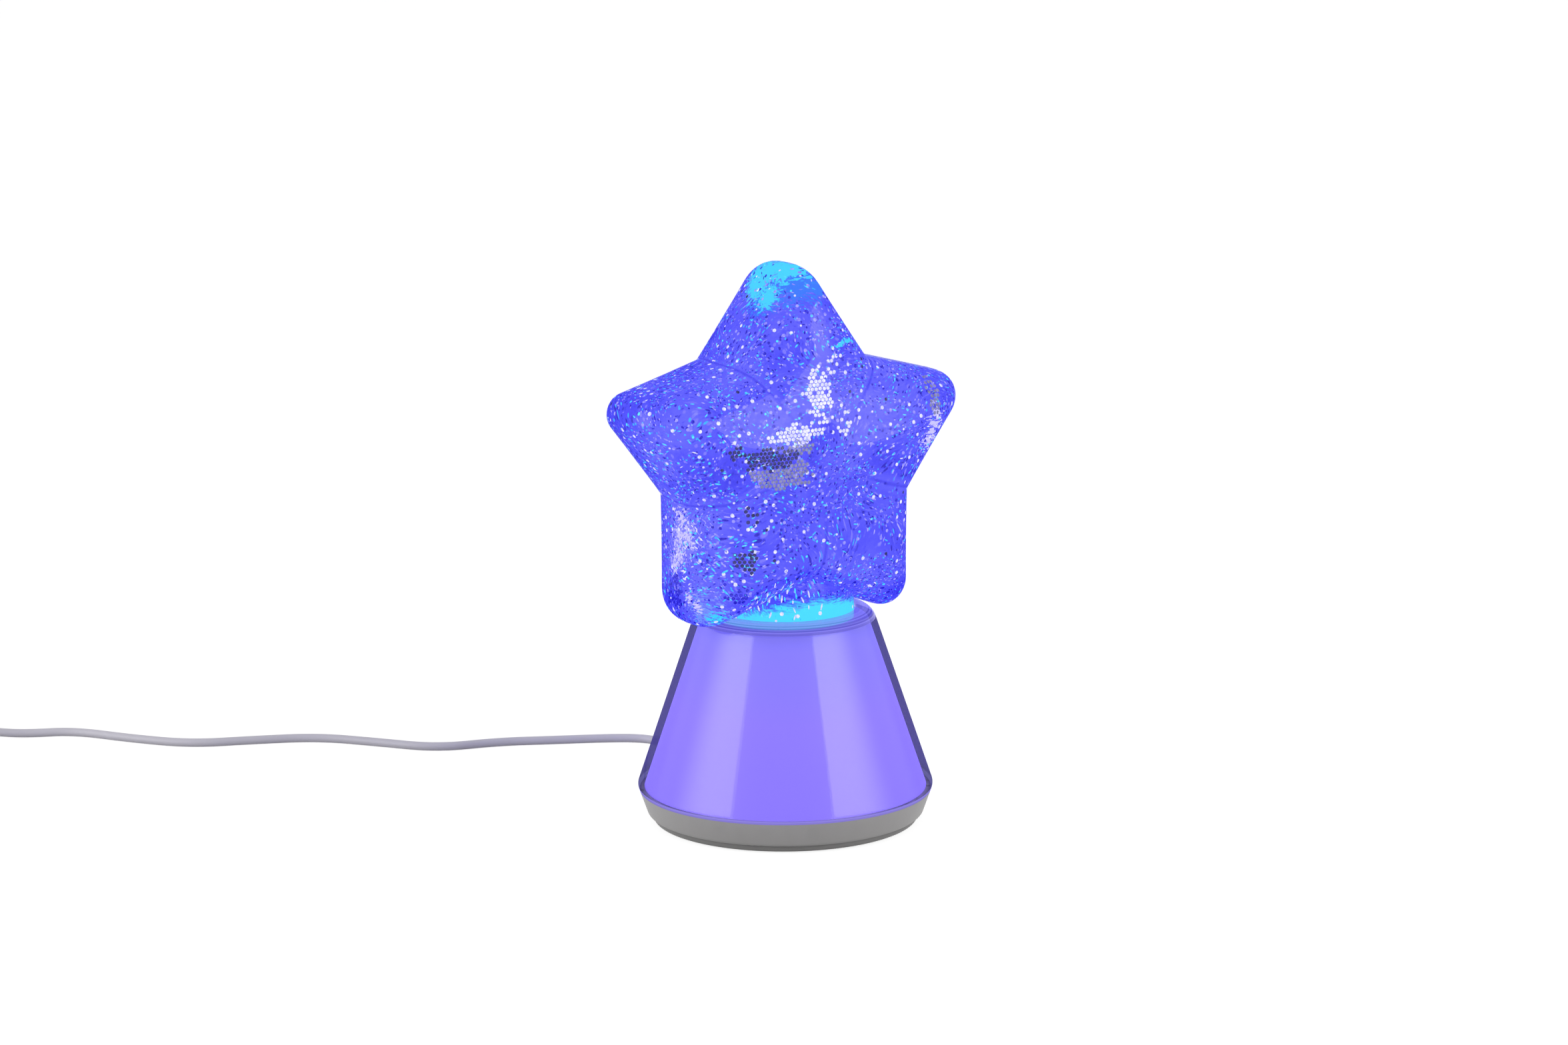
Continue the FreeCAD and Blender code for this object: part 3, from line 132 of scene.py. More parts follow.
def ranged(value, start, end, low=0.0, high=1.0, kind="LINEAR"):
    """A number carried over from one range to another and held at its ends."""
    return linked(value.id_data, "MapRange", value, start, end, low, high,
                  interpolation_type=kind).outputs["Result"]


def eased(value, start, end, high=1.0):
    """A number that grows softly from nothing at the start to its full height at the end."""
    return ranged(value, start, end, 0.0, high, "SMOOTHSTEP")


def noise(place, scale, detail, roughness=0.5):
    """Outputs of a cloud of noise."""
    return linked(place.id_data, "TexNoise", Vector=place, Scale=scale, Detail=detail,
                  Roughness=roughness).outputs


def ramp(value, *stops):
    """A colour by a number, from at least two (number, colour) stops."""
    node = linked(value.id_data, "ValToRGB", value)
    marks = node.color_ramp.elements
    for mark, (position, colour) in zip(marks, (stops[0], stops[-1])):
        mark.position = position
        mark.color = colour
    for position, colour in stops[1:-1]:
        marks.new(position).color = colour
    return node.outputs["Color"]


def mixed(factor, under, over):
    """One colour over another by a factor."""
    mix = linked(under.id_data, "Mix", data_type="RGBA", A=under, B=over)
    fill(mix.inputs[0], factor)
    return mix.outputs[2]


def on_piece(tree):
    """The place of a point in its piece's own space."""
    return linked(tree, "TexCoord").outputs["Object"]


def split_up(place):
    """The three numbers of a place, as outputs by name."""
    return linked(place.id_data, "SeparateXYZ", place).outputs


def empty_material(name):
    """A new material and its tree, with nothing in it."""
    material = bpy.data.materials.new(name)
    material.use_nodes = True
    material.node_tree.nodes.clear()
    return material, material.node_tree


def surface(tree, **inputs):
    """One all-round surface."""
    return linked(tree, "BsdfPrincipled", **inputs).outputs[0]


def clear(tree):
    """A surface that light goes straight through."""
    return linked(tree, "BsdfTransparent", Color=WHITE).outputs[0]


def mirror(tree, roughness):
    """A surface of gloss alone."""
    return linked(tree, "BsdfGlossy", Color=WHITE, Roughness=roughness).outputs[0]


def blend(factor, first, second):
    """Two surfaces mixed by a factor."""
    return linked(first.id_data, "MixShader", factor, first, second).outputs[0]


def finished(material, shader):
    """The material, with a surface of its tree as the one that it shows."""
    linked(material.node_tree, "OutputMaterial", shader)
    return material


# Studio: a plain white floor that keeps a soft shadow, a white surround that only the camera,
# gloss and glass see, and dim even light from all sides.
FLOOR_REACH = 9
FLOOR_COLOUR = (0.4, 0.4, 0.4, 1)
FLOOR_GLOW = 0.842
FILL_LIGHT = 0.4
bpy.context.scene.view_settings.view_transform = "Standard"


def sees_white(tree):
    """A factor of 1 for rays that the camera, gloss or glass sends out."""
    path = linked(tree, "LightPath").outputs
    either = maths("MAXIMUM", path["Is Camera Ray"], path["Is Glossy Ray"])
    return maths("MAXIMUM", either, path["Is Transmission Ray"])


world = bpy.data.worlds.new("studio")
world.use_nodes = True
bpy.context.scene.world = world
world_tree = world.node_tree
world_tree.nodes.clear()
world_strength = ranged(sees_white(world_tree), 0.0, 1.0, FILL_LIGHT, 1.0)
world_light = linked(world_tree, "Background", Color=WHITE, Strength=world_strength)
linked(world_tree, "OutputWorld", world_light.outputs["Background"])

floor_mesh = bpy.data.meshes.new("floor")
floor_corners = [(-1, -1), (1, -1), (1, 1), (-1, 1)]
floor_mesh.from_pydata([(x * FLOOR_REACH, y * FLOOR_REACH, 0) for x, y in floor_corners],
                       [], [(0, 1, 2, 3)])
floor_paint, floor_tree = empty_material("white floor")
floor_matt = linked(floor_tree, "BsdfDiffuse", Color=FLOOR_COLOUR)
floor_glow = linked(floor_tree, "Emission", Color=WHITE,
                    Strength=maths("MULTIPLY", sees_white(floor_tree), FLOOR_GLOW))
floor_sum = linked(floor_tree, "AddShader", floor_matt.outputs[0], floor_glow.outputs[0])
floor_mesh.materials.append(finished(floor_paint, floor_sum.outputs[0]))
floor = placed("floor", floor_mesh)


# Two tall soft boxes, one each side of the camera. Their upright edges near the camera are
# sharp and their far sides fade, which gives the two bright bands on the cone.
BOX_POWER = 13
BOX_WIDTH = 1.7
BOX_HEIGHT = 1.7
BOX_DISTANCE = 1.5
BOX_RISE = 0.62
BOX_GLOW = 1.6
LEFT_BOX_TURN = math.radians(-72)
RIGHT_BOX_TURN = math.radians(67)


def soft_box(name, turn, outer, full):
    """An upright panel that faces the lamp and fades towards its outer edge."""
    azimuth = CAMERA_AZIMUTH + turn
    away = Vector((math.sin(azimuth), -math.cos(azimuth), 0))
    box = placed(name, bpy.data.lights.new(name, "AREA"))
    box.data.shape = "RECTANGLE"
    box.data.size = BOX_WIDTH
    box.data.size_y = BOX_HEIGHT
    box.data.energy = BOX_POWER
    box.data.use_nodes = True
    tree = box.data.node_tree
    across = linked(tree, "NewGeometry").outputs["Parametric"]
    fade = eased(split_up(across)["X"], outer, full, BOX_GLOW)
    fill(tree.nodes["Emission"].inputs["Strength"], fade)
    box.location = away * BOX_DISTANCE + Vector((0, 0, BOX_RISE))
    box.rotation_mode = "QUATERNION"
    box.rotation_quaternion = (-away).to_track_quat("-Z", "Y")


soft_box("left soft box", LEFT_BOX_TURN, 0.0, 0.6)
soft_box("right soft box", RIGHT_BOX_TURN, 1.0, 0.4)


# Lead: a light round cord in a soft white jacket. It leaves the base at the back, comes round
# to the left along the table to a switch, and its spare length lies in a small coil.
CORD_RADIUS = 0.00185
CLOUD_MIDDLE = (0.3, 0.7)
LEAD_TURN = Matrix.Rotation(math.radians(-30), 3, "Z")
relief_low, relief_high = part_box("strain_relief")
cord_exit = Vector((0, relief_high.y, (relief_low.z + relief_high.z) / 2))
SWITCH_LINE = 0.0057
FLOOR_LINE = CORD_RADIUS
LEAD_ON_FLOOR = (
    (-0.048, 0.1064), (-0.0539, 0.1166), (-0.0641, 0.1225), (-0.08, 0.1223), (-0.101, 0.1196),
    (-0.125, 0.1172), (-0.151, 0.107), (-0.178, 0.1176), (-0.205, 0.127), (-0.233, 0.1224),
    (-0.259, 0.1166), (-0.286, 0.126), (-0.314, 0.14), (-0.333, 0.136),
)
LEAD_POINTS = [
    (-0.0433, 0.075, 0.0061),
    (-0.047, 0.09, 0.0032),
    *((right, back, FLOOR_LINE) for right, back in LEAD_ON_FLOOR),
    (-0.344, 0.1314, 0.0034),
    (-0.3555, 0.1292, SWITCH_LINE),
    (-0.366, 0.1292, SWITCH_LINE),
]
RUN_POINTS = [
    (-0.414, 0.1292, SWITCH_LINE),
    (-0.423, 0.1292, SWITCH_LINE),
    (-0.436, 0.1295, 0.0032),
    (-0.449, 0.1292, FLOOR_LINE),
    (-0.46, 0.1292, FLOOR_LINE),
]
COIL_OUTER = 0.0294
COIL_PITCH = 0.00413
COIL_RISE = 0.00415
COIL_LOW_ARCS = 7
COIL_HIGH_ARCS = 5
POINTS_PER_ARC = 8
COIL_END, COIL_START_BACK = RUN_POINTS[-1][:2]
COIL_CENTRE = COIL_END - 2 * CORD_RADIUS
PLUG_START = -0.431
PLUG_LINE = 0.004


def in_lead_frame(right, back, up):
    """A point of the lead's own plan, turned so that the lead runs off to the left."""
    return LEAD_TURN @ Vector((right, back, up))


def coil_points():
    """Half turns that draw in on the table, climb once, and widen again on top."""
    half = COIL_PITCH / 2
    radii = [COIL_OUTER - half * step for step in range(COIL_LOW_ARCS + 1)]
    radii += [radii[-1] + half * (step + 1) for step in range(COIL_HIGH_ARCS)]
    back = COIL_START_BACK
    points = []
    for step, radius in enumerate(radii):
        outward = -1 if step % 2 == 0 else 1
        middle = back + outward * radius
        for part in range(POINTS_PER_ARC):
            share = (part + 0.5) / POINTS_PER_ARC
            angle = math.pi * (share - 0.5) if outward > 0 else math.pi * (share + 0.5)
            lift = 0
            if step == COIL_LOW_ARCS:
                lift = COIL_RISE * (share - math.sin(2 * math.pi * share) / (2 * math.pi))
            if step > COIL_LOW_ARCS:
                lift = COIL_RISE
            points.append((COIL_CENTRE + radius * math.cos(angle),
                           middle + radius * math.sin(angle), FLOOR_LINE + lift))
        back = middle + outward * radius
    return points, back


def cord_curve(name, points):
    """A round cord on one smooth line through the given route."""
    curve = bpy.data.curves.new(name, "CURVE")
    curve.dimensions = "3D"
    curve.bevel_depth = CORD_RADIUS
    curve.bevel_resolution = 5
    curve.resolution_u = 8
    curve.use_fill_caps = True
    spline = curve.splines.new("NURBS")
    spline.points.add(len(points) - 1)
    for control, point in zip(spline.points, points):
        control.co = (*point, 1)
    spline.order_u = 3
    spline.use_endpoint_u = True
    return placed(name, curve)


def moulded(name, colour, roughness, mottle=0.05, grain=0.0006, depth=0.00004):
    """Moulded plastic: a little uneven in colour and shine, with a fine grain in its skin."""
    material, tree = empty_material(name)
    place = on_piece(tree)
    cloud = noise(place, scale=38.0, detail=4.0, roughness=0.6)["Fac"]
    tone = ranged(cloud, *CLOUD_MIDDLE, 1 - mottle, 1 + mottle)
    shine = ranged(cloud, *CLOUD_MIDDLE, roughness * 0.88, roughness * 1.12)
    skin = noise(place, scale=1 / grain, detail=2.0)["Fac"]
    bump = linked(tree, "Bump", Height=skin, Distance=depth, Strength=0.5)
    return finished(material, surface(tree, Base_Color=vectors("SCALE", colour, tone),
                                      Roughness=shine, Normal=bump.outputs["Normal"]))


def carried(material, *nodes):
    """CAD nodes that keep their shape and get a better finish."""
    for node in nodes:
        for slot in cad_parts[node].material_slots:
            slot.material = material


cord_jacket = moulded("cord jacket", (0.66, 0.64, 0.72), 0.42, mottle=0.03, grain=0.0004)
coil_turns, coil_back = coil_points()
coil_top = Vector(coil_turns[-1]).z
tail_points = [
    (COIL_CENTRE, coil_back, coil_top),
    (COIL_END, coil_back, coil_top),
    (COIL_END + 0.0043, coil_back, coil_top),
    (PLUG_START - 0.01, coil_back, PLUG_LINE),
    (PLUG_START, coil_back + 0.0003, PLUG_LINE),
]
spare_points = RUN_POINTS + coil_turns + tail_points
lead = cord_curve("lead", [cord_exit] + [in_lead_frame(*point) for point in LEAD_POINTS])
spare_lead = cord_curve("spare_lead", [in_lead_frame(*point) for point in spare_points])
for cord in (lead, spare_lead):
    cord.data.materials.append(cord_jacket)
    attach(cord, "lamp")
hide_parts("cord_lead")
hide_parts("cord_run", "cord_coil", "cord_tail")
carried(cord_jacket, "strain_relief")


# Switch in the lead: two moulded half shells held by two screws from below, and a rocker that
# tips on its pin. Every edge has the small round that a mould leaves.
EDGE_ANGLE = math.radians(30)
FLAT_ANGLE = math.radians(1)
SAME_POINT = 0.000002
ON_RIM = 0.0001


def softened(node, name, material, body, width, rim=None):
    """A copy of a CAD node with its edges rounded, that stands in for the node.

    rim is the radius, height and rounding of one round edge that is softer than the rest."""
    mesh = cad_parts[node].data.copy()
    mesh.name = name
    mesh.materials.clear()
    mesh.materials.append(material)
    work = bmesh.new()
    work.from_mesh(mesh)
    for face in work.faces:
        face.material_index = 0
    bmesh.ops.remove_doubles(work, verts=work.verts, dist=SAME_POINT)
    bmesh.ops.dissolve_limit(work, angle_limit=FLAT_ANGLE, verts=work.verts, edges=work.edges,
                             delimit=set())
    if rim:
        around = [edge for edge in work.edges if all(
            abs(vert.co.xy.length - rim[0]) < ON_RIM and abs(vert.co.z - rim[1]) < ON_RIM
            for vert in edge.verts)]
        bmesh.ops.bevel(work, geom=around, offset=rim[2], segments=6, profile=0.5, affect="EDGES")
    for face in work.faces:
        face.smooth = True
    work.to_mesh(mesh)
    work.free()
    piece = placed(name, mesh)
    bevel = piece.modifiers.new("round", "BEVEL")
    bevel.width = width
    bevel.segments = 3
    bevel.limit_method = "ANGLE"
    bevel.angle_limit = EDGE_ANGLE
    bevel.harden_normals = True
    bevel.use_clamp_overlap = True
    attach(piece, body)
    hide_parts(node)
    return piece


def metal(name, colour, roughness, scratch=2400.0):
    """Bare metal with fine wear in its shine."""
    material, tree = empty_material(name)
    wear = noise(on_piece(tree), scale=scratch, detail=3.0)["Fac"]
    shine = ranged(wear, 0.0, 1.0, roughness * 0.7, roughness * 1.3)
    tone = ranged(wear, 0.0, 1.0, 0.9, 1.08)
    return finished(material, surface(tree, Metallic=1, Roughness=shine,
                                      Base_Color=vectors("SCALE", colour, tone)))


switch_skin = moulded("switch shell", (0.64, 0.63, 0.65), 0.4, mottle=0.03)
rocker_skin = moulded("switch rocker", (0.4, 0.4, 0.42), 0.35, mottle=0.03)
switch_low_shell = softened("switch_base", "switch_low_shell", switch_skin,
                            "lamp", 0.0008)
switch_high_shell = softened("switch_cover", "switch_high_shell", switch_skin,
                             "lamp", 0.0006)
rocker_cap = softened("switch_rocker", "rocker_cap", rocker_skin, "rocker", 0.0005)
screw_steel = metal("screw steel", (0.55, 0.55, 0.56), 0.32)
carried(screw_steel, "switch_screws")


# Plug: a moulded grip with a sleeve round the cord, a sheet metal shell, and a white tongue
# with four flat contacts.
plug_grip = softened("plug_body", "plug_grip", switch_skin, "lamp", 0.0005)
carried(metal("plug shell sheet", (0.5, 0.5, 0.51), 0.25), "plug_shell")
carried(moulded("contact tongue", (0.75, 0.75, 0.74), 0.5), "plug_tongue")


# Base: a thin grey plate with rubber feet, screwed from below to a light grey ring that
# widens to the seam with the cone.
# The plate's grey, darker than the ring's, is partly its own colour and partly painted shade for the dark
# line where the base meets the table.
plate_grey_and_painted_shade = moulded("bottom plate", (0.23, 0.226, 0.223), 0.5)
ring_plastic = moulded("grey ring", (0.42, 0.412, 0.405), 0.46, mottle=0.03, grain=0.0005)
foot_rubber = moulded("foot rubber", (0.02, 0.02, 0.02), 0.85, grain=0.0003, depth=0.0001)
plate_low, plate_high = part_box("bottom_plate")
softened("bottom_plate", "base_plate", plate_grey_and_painted_shade, "lamp", 0.0003,
         rim=(plate_high.x, plate_low.z, 0.0012))
softened("base_ring", "grey_ring", ring_plastic, "lamp", 0.0004)
carried(foot_rubber, "rubber_feet")
carried(screw_steel, "base_screws")


# Carrying tube and motor cup: plain white mouldings, screwed to the bottom plate and to each
# other, that hold the motor and the upper light board at the height of the vessel's cap.
white_moulding = moulded("white moulding", (0.72, 0.72, 0.71), 0.5, mottle=0.03)
carried(white_moulding, "carrying_tube", "motor_cup", "neck_collar", "reflector_ring", "pin_keeper")
carried(screw_steel, "tube_screws", "motor_screws")


# Motor: a small direct-current motor in a plated steel can, with a ground steel shaft. The
# shaft turns a moulded carrier that holds two flat nickel-plated magnets.
ground_steel = metal("ground steel", (0.6, 0.6, 0.61), 0.18)
magnet_nickel = metal("magnet nickel", (0.4, 0.39, 0.38), 0.22, scratch=900.0)
carried(metal("motor can", (0.5, 0.5, 0.5), 0.3, scratch=600.0), "motor")
carried(ground_steel, "motor_shaft")
carried(moulded("carrier moulding", (0.66, 0.66, 0.65), 0.45), "magnet_carrier")
carried(magnet_nickel, "drive_magnets")


# Circuit boards: lacquer over copper tracks that show through as a faint pattern. Two white ones
# light the neck from below and the cone, and a small green one in the base feeds both.
TRACK_PITCH = 0.004
TRACK_SHARE = 0.12


def board_lacquer(name, lacquer, tracks):
    """Lacquer with copper tracks under it."""
    material, tree = empty_material(name)
    pattern = linked(tree, "TexBrick", Vector=on_piece(tree), Color1=lacquer, Color2=lacquer,
                     Mortar=tracks, Scale=1 / TRACK_PITCH, Mortar_Size=TRACK_SHARE,
                     Mortar_Smooth=0.1).outputs
    raised = linked(tree, "Bump", invert=True, Height=pattern["Fac"], Distance=0.00003, Strength=0.4)
    return finished(material, surface(tree, Base_Color=pattern["Color"], Roughness=0.35,
                                      Normal=raised.outputs["Normal"]))


carried(board_lacquer("white board", (0.74, 0.76, 0.73, 1), (0.6, 0.66, 0.6, 1)),
        "neck_light_board", "cone_light_board")
carried(board_lacquer("green board", (0.03, 0.16, 0.07, 1), (0.06, 0.26, 0.12, 1)), "driver_board")
carried(moulded("black package", (0.03, 0.03, 0.032), 0.4), "driver_parts")


# Light diodes: small white packages with a window of clouded resin, six cyan ones under the
# neck and twelve blue ones under the cone.
DIODE_GRAIN = 700.0
DIODE_GLOW = 2.0
LIT_REFLECTANCE = 0.12


def glowing(name, tree_colour, strength, roughness, gloss=0.5):
    """A lit surface: its colour is both what it gives off and, dimly, what it reflects."""
    material, tree = empty_material(name)
    colour = tree_colour(tree)
    return finished(material, surface(
        tree, Base_Color=vectors("SCALE", colour, LIT_REFLECTANCE), Emission_Color=colour,
        Emission_Strength=strength, Roughness=roughness, Specular_IOR_Level=gloss))


def clouded(low, high, scale):
    """A colour that drifts between two tones."""
    def colour(tree):
        cloud = noise(on_piece(tree), scale=scale, detail=2.0)["Fac"]
        return ramp(cloud, (0.35, low), (0.65, high))
    return colour


for name, nodes, low, high in (
        ("cyan diode", "neck_diodes", (0.05, 0.6, 0.9, 1), (0.3, 0.9, 1, 1)),
        ("blue diode", "cone_diodes", (0.15, 0.1, 0.95, 1), (0.35, 0.3, 1, 1))):
    carried(glowing(name, clouded(low, high, DIODE_GRAIN), DIODE_GLOW, 0.3), nodes)


# Clear outer cone: one thick moulding of clear plastic, polished, with a rounded shoulder. A dark
# band along both sides is painted shade on its far side, for its wall and the air behind it.
cone_low, cone_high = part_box("clear_cone")
ROUND_STEPS = 96
ROUND_SMOOTH_ANGLE = 35
ARC_STEP = math.radians(12)
CONE_WALL = 0.0022
CONE_ROUND = 0.006
SEAM_HEIGHT = 0.0132
SEAM_RADIUS = 0.0593
RABBET_RADIUS = 0.0561
BULGE_RADIUS = 0.06
BULGE_HEIGHT = 0.0152
BULGE_ROUND = 0.003
SHOULDER_RADIUS = 0.0354
NECK_HOLE = 0.0282
LEDGE_RADIUS = 0.0546
LEDGE_TOP = 0.014
SHOULDER_GLOW = 0.0035
LIT_FOOT_TOP = 0.0146
ASLANT = (0.45, 0.55)
CONE_LEAN = (BULGE_RADIUS - SHOULDER_RADIUS) / (cone_high.z - BULGE_HEIGHT)
LEVEL_SHARE = math.hypot(1, CONE_LEAN)


def cone_radius(height, inset):
    """Radius of the cone's slope at a height, drawn in square to the slope by an inset."""
    return SHOULDER_RADIUS + (cone_high.z - height) * CONE_LEAN - inset * LEVEL_SHARE


def arc(corner, back, ahead, half_angle, rounding, steps):
    """The points that round a corner, given the ways back and ahead and half the angle of both."""
    trim = rounding / math.tan(half_angle)
    middle = corner + (back + ahead).normalized() * (rounding / math.sin(half_angle))
    spoke = corner + back * trim - middle
    sweep = math.copysign(math.pi - 2 * half_angle, spoke.cross(corner + ahead * trim - middle))
    return [middle + Matrix.Rotation(sweep * step / steps, 2) @ spoke for step in range(steps + 1)]


def rounded_loop(corners):
    """A closed outline of (x, y, rounding) corners, each rounded with an arc."""
    points = []
    for index, (x, y, rounding) in enumerate(corners):
        corner = Vector((x, y))
        if rounding <= 0:
            points.append(corner)
            continue
        back = Vector(corners[index - 1][:2]) - corner
        ahead = Vector(corners[(index + 1) % len(corners)][:2]) - corner
        half_angle = back.angle(ahead) / 2
        steps = max(2, int((math.pi - 2 * half_angle) / ARC_STEP))
        points += arc(corner, back.normalized(), ahead.normalized(), half_angle, rounding, steps)
    return points


def made(name, work, material):
    """An object from a bmesh, with one material."""
    mesh = bpy.data.meshes.new(name)
    work.to_mesh(mesh)
    work.free()
    mesh.materials.append(material)
    return placed(name, mesh)


def smooth(piece, angle):
    """Smooth shading, but for edges sharper than an angle."""
    piece.data.shade_smooth()
    piece.data.set_sharp_from_angle(angle=math.radians(angle))


def bridge(work, rings):
    """Faces from each ring of points to the next."""
    for here, there in zip(rings, rings[1:]):
        for index in range(len(here)):
            after = (index + 1) % len(here)
            work.faces.new((here[index], here[after], there[after], there[index]))


def turned(name, loop, material, segments=2 * ROUND_STEPS):
    """A ring made by turning a closed outline of (radius, height) about the lamp's axis."""
    work = bmesh.new()
    rings = []
    for step in range(segments):
        angle = 2 * math.pi * step / segments
        rings.append([work.verts.new((radius * math.cos(angle), radius * math.sin(angle), height))
                      for radius, height in loop])
    bridge(work, rings + rings[:1])
    bmesh.ops.recalc_face_normals(work, faces=work.faces)
    piece = made(name, work, material)
    smooth(piece, ROUND_SMOOTH_ANGLE)
    return piece


def clear_plastic_painted_band(name, gloss, painted_band_colour, painted_band_cover):
    """Clear plastic: gloss on its face, and a far side with a painted dark band where it is seen aslant.
    """
    material, tree = empty_material(name)
    facing = linked(tree, "LayerWeight", Blend=0.5).outputs["Facing"]
    painted_band_mask = maths("MULTIPLY", linked(tree, "NewGeometry").outputs["Backfacing"],
                eased(facing, *ASLANT, painted_band_cover))
    # A dark surface: painted shade for the band on the far side.
    painted_dark_edge = surface(tree, Base_Color=painted_band_colour, Roughness=0.5, Specular_IOR_Level=0.0)
    return finished(material, blend(painted_band_mask, blend(gloss, clear(tree), mirror(tree, 0.02)), painted_dark_edge))


def plain_pane(name, gloss):
    """The inner side of the wall: clear, with a faint gloss."""
    material, tree = empty_material(name)
    return finished(material, blend(gloss, clear(tree), mirror(tree, 0.05)))


def painted_glow_edge(name, dark, light, painted_back_colour, cover, gloss):
    """An edge of the wall with a painted glow in fine lines, for the lit cone seen through it."""
    material, tree = empty_material(name)
    lines = linked(tree, "TexNoise", noise_dimensions="1D", Scale=1500.0, Detail=2.0,
                   W=split_up(on_piece(tree))["Z"])
    tone = ramp(lines.outputs["Fac"], (0.38, dark), (0.62, light))
    side = linked(tree, "NewGeometry").outputs["Backfacing"]
    glow = surface(tree, Base_Color=(0.03, 0.03, 0.12, 1), Roughness=0.15, Specular_IOR_Level=gloss,
                   Emission_Strength=0.8, Emission_Color=mixed(side, tone, painted_back_colour))
    return finished(material, blend(cover, clear(tree), glow))


# The cone's material paints a dark violet band on its far side, as painted shade.
outer_cone = turned("outer_cone", rounded_loop([
    (LEDGE_RADIUS, cone_low.z, 0),
    (RABBET_RADIUS, cone_low.z, 0),
    (RABBET_RADIUS, SEAM_HEIGHT, 0),
    (SEAM_RADIUS, SEAM_HEIGHT, 0.0002),
    (BULGE_RADIUS, BULGE_HEIGHT, BULGE_ROUND),
    (SHOULDER_RADIUS, cone_high.z, CONE_ROUND),
    (NECK_HOLE, cone_high.z, 0.0006),
    (NECK_HOLE, cone_high.z - CONE_WALL, 0),
    (cone_radius(cone_high.z - CONE_WALL, CONE_WALL), cone_high.z - CONE_WALL, CONE_ROUND - CONE_WALL),
    (cone_radius(LEDGE_TOP, CONE_WALL), LEDGE_TOP, 0),
    (LEDGE_RADIUS, LEDGE_TOP, 0),
]), clear_plastic_painted_band("clear cone plastic with painted band", 0.03, (0.145, 0.138, 0.26, 1), 0.97))
INNER_SIDE, LIT_SHOULDER, LIT_FOOT = 1, 2, 3
# The shoulder and the foot glow with painted light, for the lit cone seen through the clear wall; the
# foot's back side has a dark painted shade.
for pane in (
        plain_pane("inner side of the clear cone", 0.02),
        painted_glow_edge("lit shoulder", (0.08, 0.06, 0.5, 1), (0.27, 0.24, 0.95, 1), (0.17, 0.15, 0.8, 1),
                 cover=0.7, gloss=0.2),
        painted_glow_edge("lit foot", (0.2, 0.16, 0.55, 1), (0.36, 0.3, 0.95, 1), (0.08, 0.07, 0.25, 1),
                 cover=0.97, gloss=0.0)):
    outer_cone.data.materials.append(pane)
for side in outer_cone.data.polygons:
    outwards = side.normal.xy.dot(side.center.xy.normalized())
    if side.center.z > cone_high.z - SHOULDER_GLOW and (side.normal.z > 0.5 or outwards > 0.1):
        side.material_index = LIT_SHOULDER
    elif outwards < 0.1 or side.center.z < SEAM_HEIGHT:
        side.material_index = INNER_SIDE
    elif side.center.z < LIT_FOOT_TOP:
        side.material_index = LIT_FOOT
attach(outer_cone, "lamp")
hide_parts("clear_cone")


# Opal cone: the lit shade. Light from the board in the base fills it evenly, a little paler
# low down and deeper towards the rim.
opal_low, opal_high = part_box("opal_cone")
OPAL_WALL = 0.0014
OPAL_GAP = 0.0007
OPAL_INSET = CONE_WALL + OPAL_GAP


def opal_colour(tree):
    """Colour by height, with a faint cloud in the plastic."""
    place = on_piece(tree)
    rise = ranged(split_up(place)["Z"], opal_low.z, opal_high.z)
    sway = ranged(noise(place, scale=30.0, detail=2.0)["Fac"], 0.0, 1.0, -0.06, 0.06)
    return ramp(maths("ADD", rise, sway),
                (0.0, (0.215, 0.142, 0.95, 1)), (0.5, (0.23, 0.155, 0.96, 1)),
                (0.9, (0.2, 0.162, 0.98, 1)), (1.0, (0.15, 0.13, 0.8, 1)))


lit_cone = turned("lit_cone", rounded_loop([
    (cone_radius(opal_low.z, OPAL_INSET), opal_low.z, 0.0003),
    (cone_radius(opal_high.z, OPAL_INSET), opal_high.z, CONE_ROUND - OPAL_INSET),
    (NECK_HOLE, opal_high.z, 0),
    (NECK_HOLE, opal_high.z - OPAL_WALL, 0),
    (cone_radius(opal_high.z - OPAL_WALL, OPAL_INSET + OPAL_WALL), opal_high.z - OPAL_WALL, 0),
    (cone_radius(opal_low.z, OPAL_INSET + OPAL_WALL), opal_low.z, 0.0003),
]), glowing("lit opal plastic", opal_colour, 0.96, 0.35, gloss=0.2))
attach(lit_cone, "lamp")
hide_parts("opal_cone")


# Star vessel: a blown star of clear plastic with five blunt swelling arms, on a round neck
# that goes down through the cone. The liquid wets its inner wall, so that wall bends no light.
STAR_MIDDLE = 0.1501
STAR_REACH = 0.0778
STAR_VALLEY = 0.0495
STAR_TIP_ROUND = 0.0088
STAR_VALLEY_ROUND = 0.0028
STAR_HALF_DEPTH = 0.0345
STAR_TIP_SWELL = 2.8
STAR_VALLEY_SWELL = 3.6
STAR_MOST_VALLEY = 0.75
STAR_WALL = 0.0022
NECK_RADIUS = 0.028
NECK_STRAIGHT_TOP = 0.0975
NECK_ROOT_HEIGHT = 0.112
NECK_ROOT_RADIUS = 0.016
ARMS = 5
HALF_ARM = math.pi / ARMS
LEVELS = 44
TIP_STEPS = 12
VALLEY_STEPS = 6
FLANK_STEPS = 7
SMOOTH_ANGLE = 60
SKIN_IOR = 1.49
SKIN_GLOSS = 0.028
SKIN_DARK_RIM = (0.84, 1.0)
SKIN_DARK_RIM_COVER = 0.5
GLOSS_FADE = 0.004
CUT_PAST = 0.001
vessel_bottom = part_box("star_vessel")[0].z


